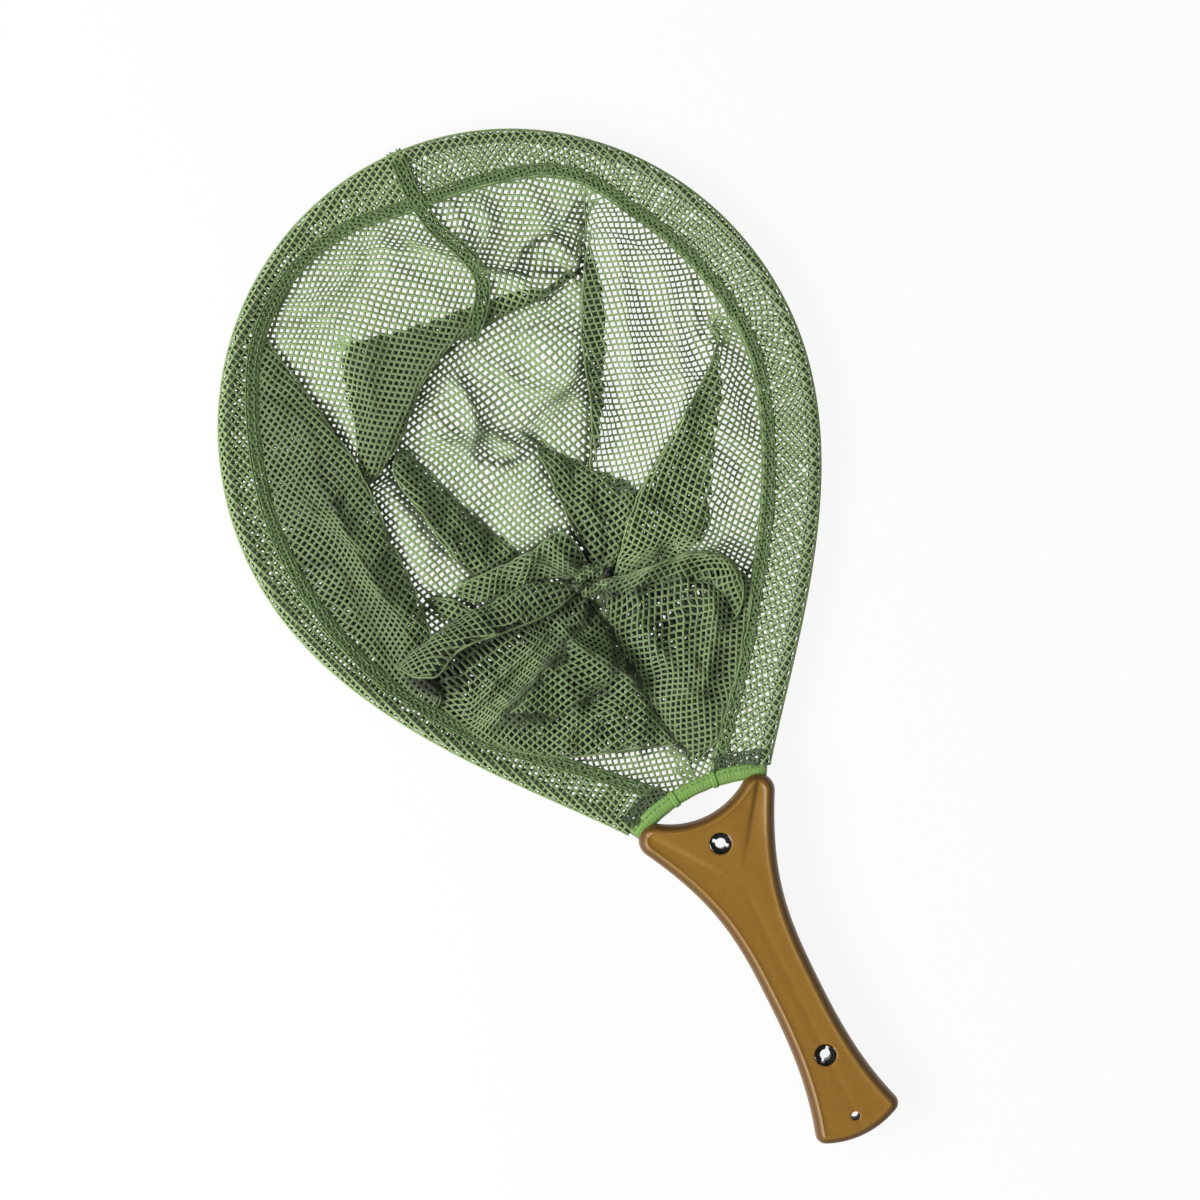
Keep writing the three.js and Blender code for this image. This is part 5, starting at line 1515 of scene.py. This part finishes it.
# painted highlight: a lighter band along the crest of the shoulder, about 4 mm in from the edge
highlightAt = addNode(tree, "ShaderNodeMath", {1: plastic["highlightAt"]}, {0: edge.outputs["Fac"]}, operation="SUBTRACT")
highlightFar = addNode(tree, "ShaderNodeMath", links={0: highlightAt.outputs[0]}, operation="ABSOLUTE")
highlightWide = addNode(tree, "ShaderNodeMath", {1: plastic["highlightWide"]}, {0: highlightFar.outputs[0]}, operation="SUBTRACT")
highlightBand = addNode(tree, "ShaderNodeMapRange", {
    "From Min": 0.0, "From Max": -plastic["highlightWide"], "To Min": 0.0, "To Max": 0.35}, {"Value": highlightWide.outputs[0]})
highlighted = addNode(tree, "ShaderNodeMix", {7: toLinear(plastic["crestHighlight"])}, {0: highlightBand.outputs[0], 6: edgeShaded.outputs[2]},
               data_type="RGBA")
bump = addNode(tree, "ShaderNodeBump", {"Strength": 0.2, "Distance": 0.0003}, {"Height": grain.outputs["Fac"]})
gloss = addNode(tree, "ShaderNodeMapRange", {"To Min": 0.26, "To Max": 0.4}, {"Value": marks.outputs["Fac"]})
rough = addNode(tree, "ShaderNodeMath", {1: 0.35}, {0: edgeShadeRamp.outputs["Color"], 2: gloss.outputs[0]},
                operation="MULTIPLY_ADD")
shader = addNode(tree, "ShaderNodeBsdfPrincipled", {"IOR": 1.49},
                 {"Base Color": highlighted.outputs[2], "Roughness": rough.outputs[0], "Normal": bump.outputs["Normal"]})
addNode(tree, "ShaderNodeOutputMaterial", links={"Surface": shader.outputs["BSDF"]})

for name, node, back in (("handle_front", "handle_front_shell", False), ("handle_back", "handle_back_shell", True)):
    piece = shellPiece(name, back)
    piece.data.materials.append(mouldedPlastic)
    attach(piece, "root")
    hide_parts(node)
    report("%s: %d triangles" % (name, triangleCount(piece)))

# Black nylon, moulded smooth: dark and glossy, with fine mould texture that dulls it in patches
nylonLook = {"main": "#1E1B16", "dull": "#0E0D0B", "patch": 1.5}
nylon, tree = newMaterial("black nylon, moulded smooth")
where = addNode(tree, "ShaderNodeTexCoord").outputs["Object"]
cloud = addNode(tree, "ShaderNodeTexNoise", {"Scale": 1000 / nylonLook["patch"], "Detail": 3.0}, {"Vector": where})
dye = addNode(tree, "ShaderNodeMix", {6: toLinear(nylonLook["dull"]), 7: toLinear(nylonLook["main"])},
              {0: cloud.outputs["Fac"]}, data_type="RGBA")
gloss = addNode(tree, "ShaderNodeMapRange", {"To Min": 0.28, "To Max": 0.5}, {"Value": cloud.outputs["Fac"]})
bump = addNode(tree, "ShaderNodeBump", {"Strength": 0.1, "Distance": 0.0002}, {"Height": cloud.outputs["Fac"]})
shader = addNode(tree, "ShaderNodeBsdfPrincipled", {"IOR": 1.53},
                 {"Base Color": dye.outputs[2], "Roughness": gloss.outputs[0], "Normal": bump.outputs["Normal"]})
addNode(tree, "ShaderNodeOutputMaterial", links={"Surface": shader.outputs["BSDF"]})

# Spring steel, drawn and oiled: grey with a film of oil in patches, and fine draw lines that break its highlight
steelLook = {"main": "#888D7D", "oiled": "#6C7163", "patch": 12, "lines": 0.6}
steel, tree = newMaterial("spring steel, drawn and oiled")
where = addNode(tree, "ShaderNodeTexCoord").outputs["Object"]
oil = addNode(tree, "ShaderNodeTexNoise", {"Scale": 1000 / steelLook["patch"], "Detail": 4.0}, {"Vector": where})
lines = addNode(tree, "ShaderNodeTexNoise", {"Scale": 1000 / steelLook["lines"], "Detail": 2.0}, {"Vector": where})
tone = addNode(tree, "ShaderNodeMix", {6: toLinear(steelLook["oiled"]), 7: toLinear(steelLook["main"])},
               {0: oil.outputs["Fac"]}, data_type="RGBA")
gloss = addNode(tree, "ShaderNodeMapRange", {"To Min": 0.4, "To Max": 0.6}, {"Value": lines.outputs["Fac"]})
shader = addNode(tree, "ShaderNodeBsdfPrincipled", {"Metallic": 1.0},
                 {"Base Color": tone.outputs[2], "Roughness": gloss.outputs[0]})
addNode(tree, "ShaderNodeOutputMaterial", links={"Surface": shader.outputs["BSDF"]})
for node, finish in (("yoke_rivet_stud", nylon), ("yoke_rivet_cap", nylon), ("grip_rivet_stud", nylon),
                     ("grip_rivet_cap", nylon), ("hoop_rod", steel), ("throat_rod", steel)):
    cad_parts[node].material_slots[0].material = finish
report("handle, rivets and rods dressed")

# Studio: a white table that is lit through from below, one softbox at the left of the picture and an even surround
studio = {"table": "#F7F7F5", "half": 3, "below": -0.0004, "glow": 0.9, "key": 38.0, "box": (1.7, 0.75),
          "lamp": (-1.4, 0.25, 1.15), "aim": (0, 0.02, 0), "surround": 0.32}
half, below = studio["half"], studio["below"]
floor = makePiece("floor", [(-half, -half, below), (half, -half, below), (half, half, below), (-half, half, below)],
                  [(0, 1, 2, 3)])
material, tree = newMaterial("opal acrylic table, lit from below")
white = toLinear(studio["table"])
plain = addNode(tree, "ShaderNodeBsdfDiffuse", {"Color": white})
dim = addNode(tree, "ShaderNodeBsdfDiffuse", {"Color": [c * (1 - studio["glow"]) for c in white[:3]] + [1.0]})
glow = addNode(tree, "ShaderNodeEmission", {"Color": (1, 1, 1, 1), "Strength": studio["glow"]})
lit = addNode(tree, "ShaderNodeAddShader", links={0: dim.outputs[0], 1: glow.outputs[0]})
path = addNode(tree, "ShaderNodeLightPath")
either = addNode(tree, "ShaderNodeMath", links={0: path.outputs["Is Camera Ray"], 1: path.outputs["Is Glossy Ray"]},
                 operation="MAXIMUM")
seen = addNode(tree, "ShaderNodeMath", links={0: either.outputs[0], 1: path.outputs["Is Transmission Ray"]},
               operation="MAXIMUM")
both = addNode(tree, "ShaderNodeMixShader", links={0: seen.outputs[0], 1: plain.outputs[0], 2: lit.outputs[0]})
addNode(tree, "ShaderNodeOutputMaterial", links={"Surface": both.outputs[0]})
floor.data.materials.append(material)
key = bpy.data.objects.new("key", bpy.data.lights.new("key", "AREA"))
key.data.energy = studio["key"]
key.data.shape = "RECTANGLE"
key.data.size, key.data.size_y = studio["box"]
key.location = studio["lamp"]
key.rotation_euler = (Vector(studio["aim"]) - key.location).to_track_quat("-Z", "Y").to_euler()
scene.collection.objects.link(key)
world = bpy.data.worlds.new("surround")
world.use_nodes = True
world.node_tree.nodes["Background"].inputs["Color"].default_value = (1, 1, 1, 1)
world.node_tree.nodes["Background"].inputs["Strength"].default_value = studio["surround"]
scene.world = world
report("studio set")

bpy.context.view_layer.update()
report("size written")
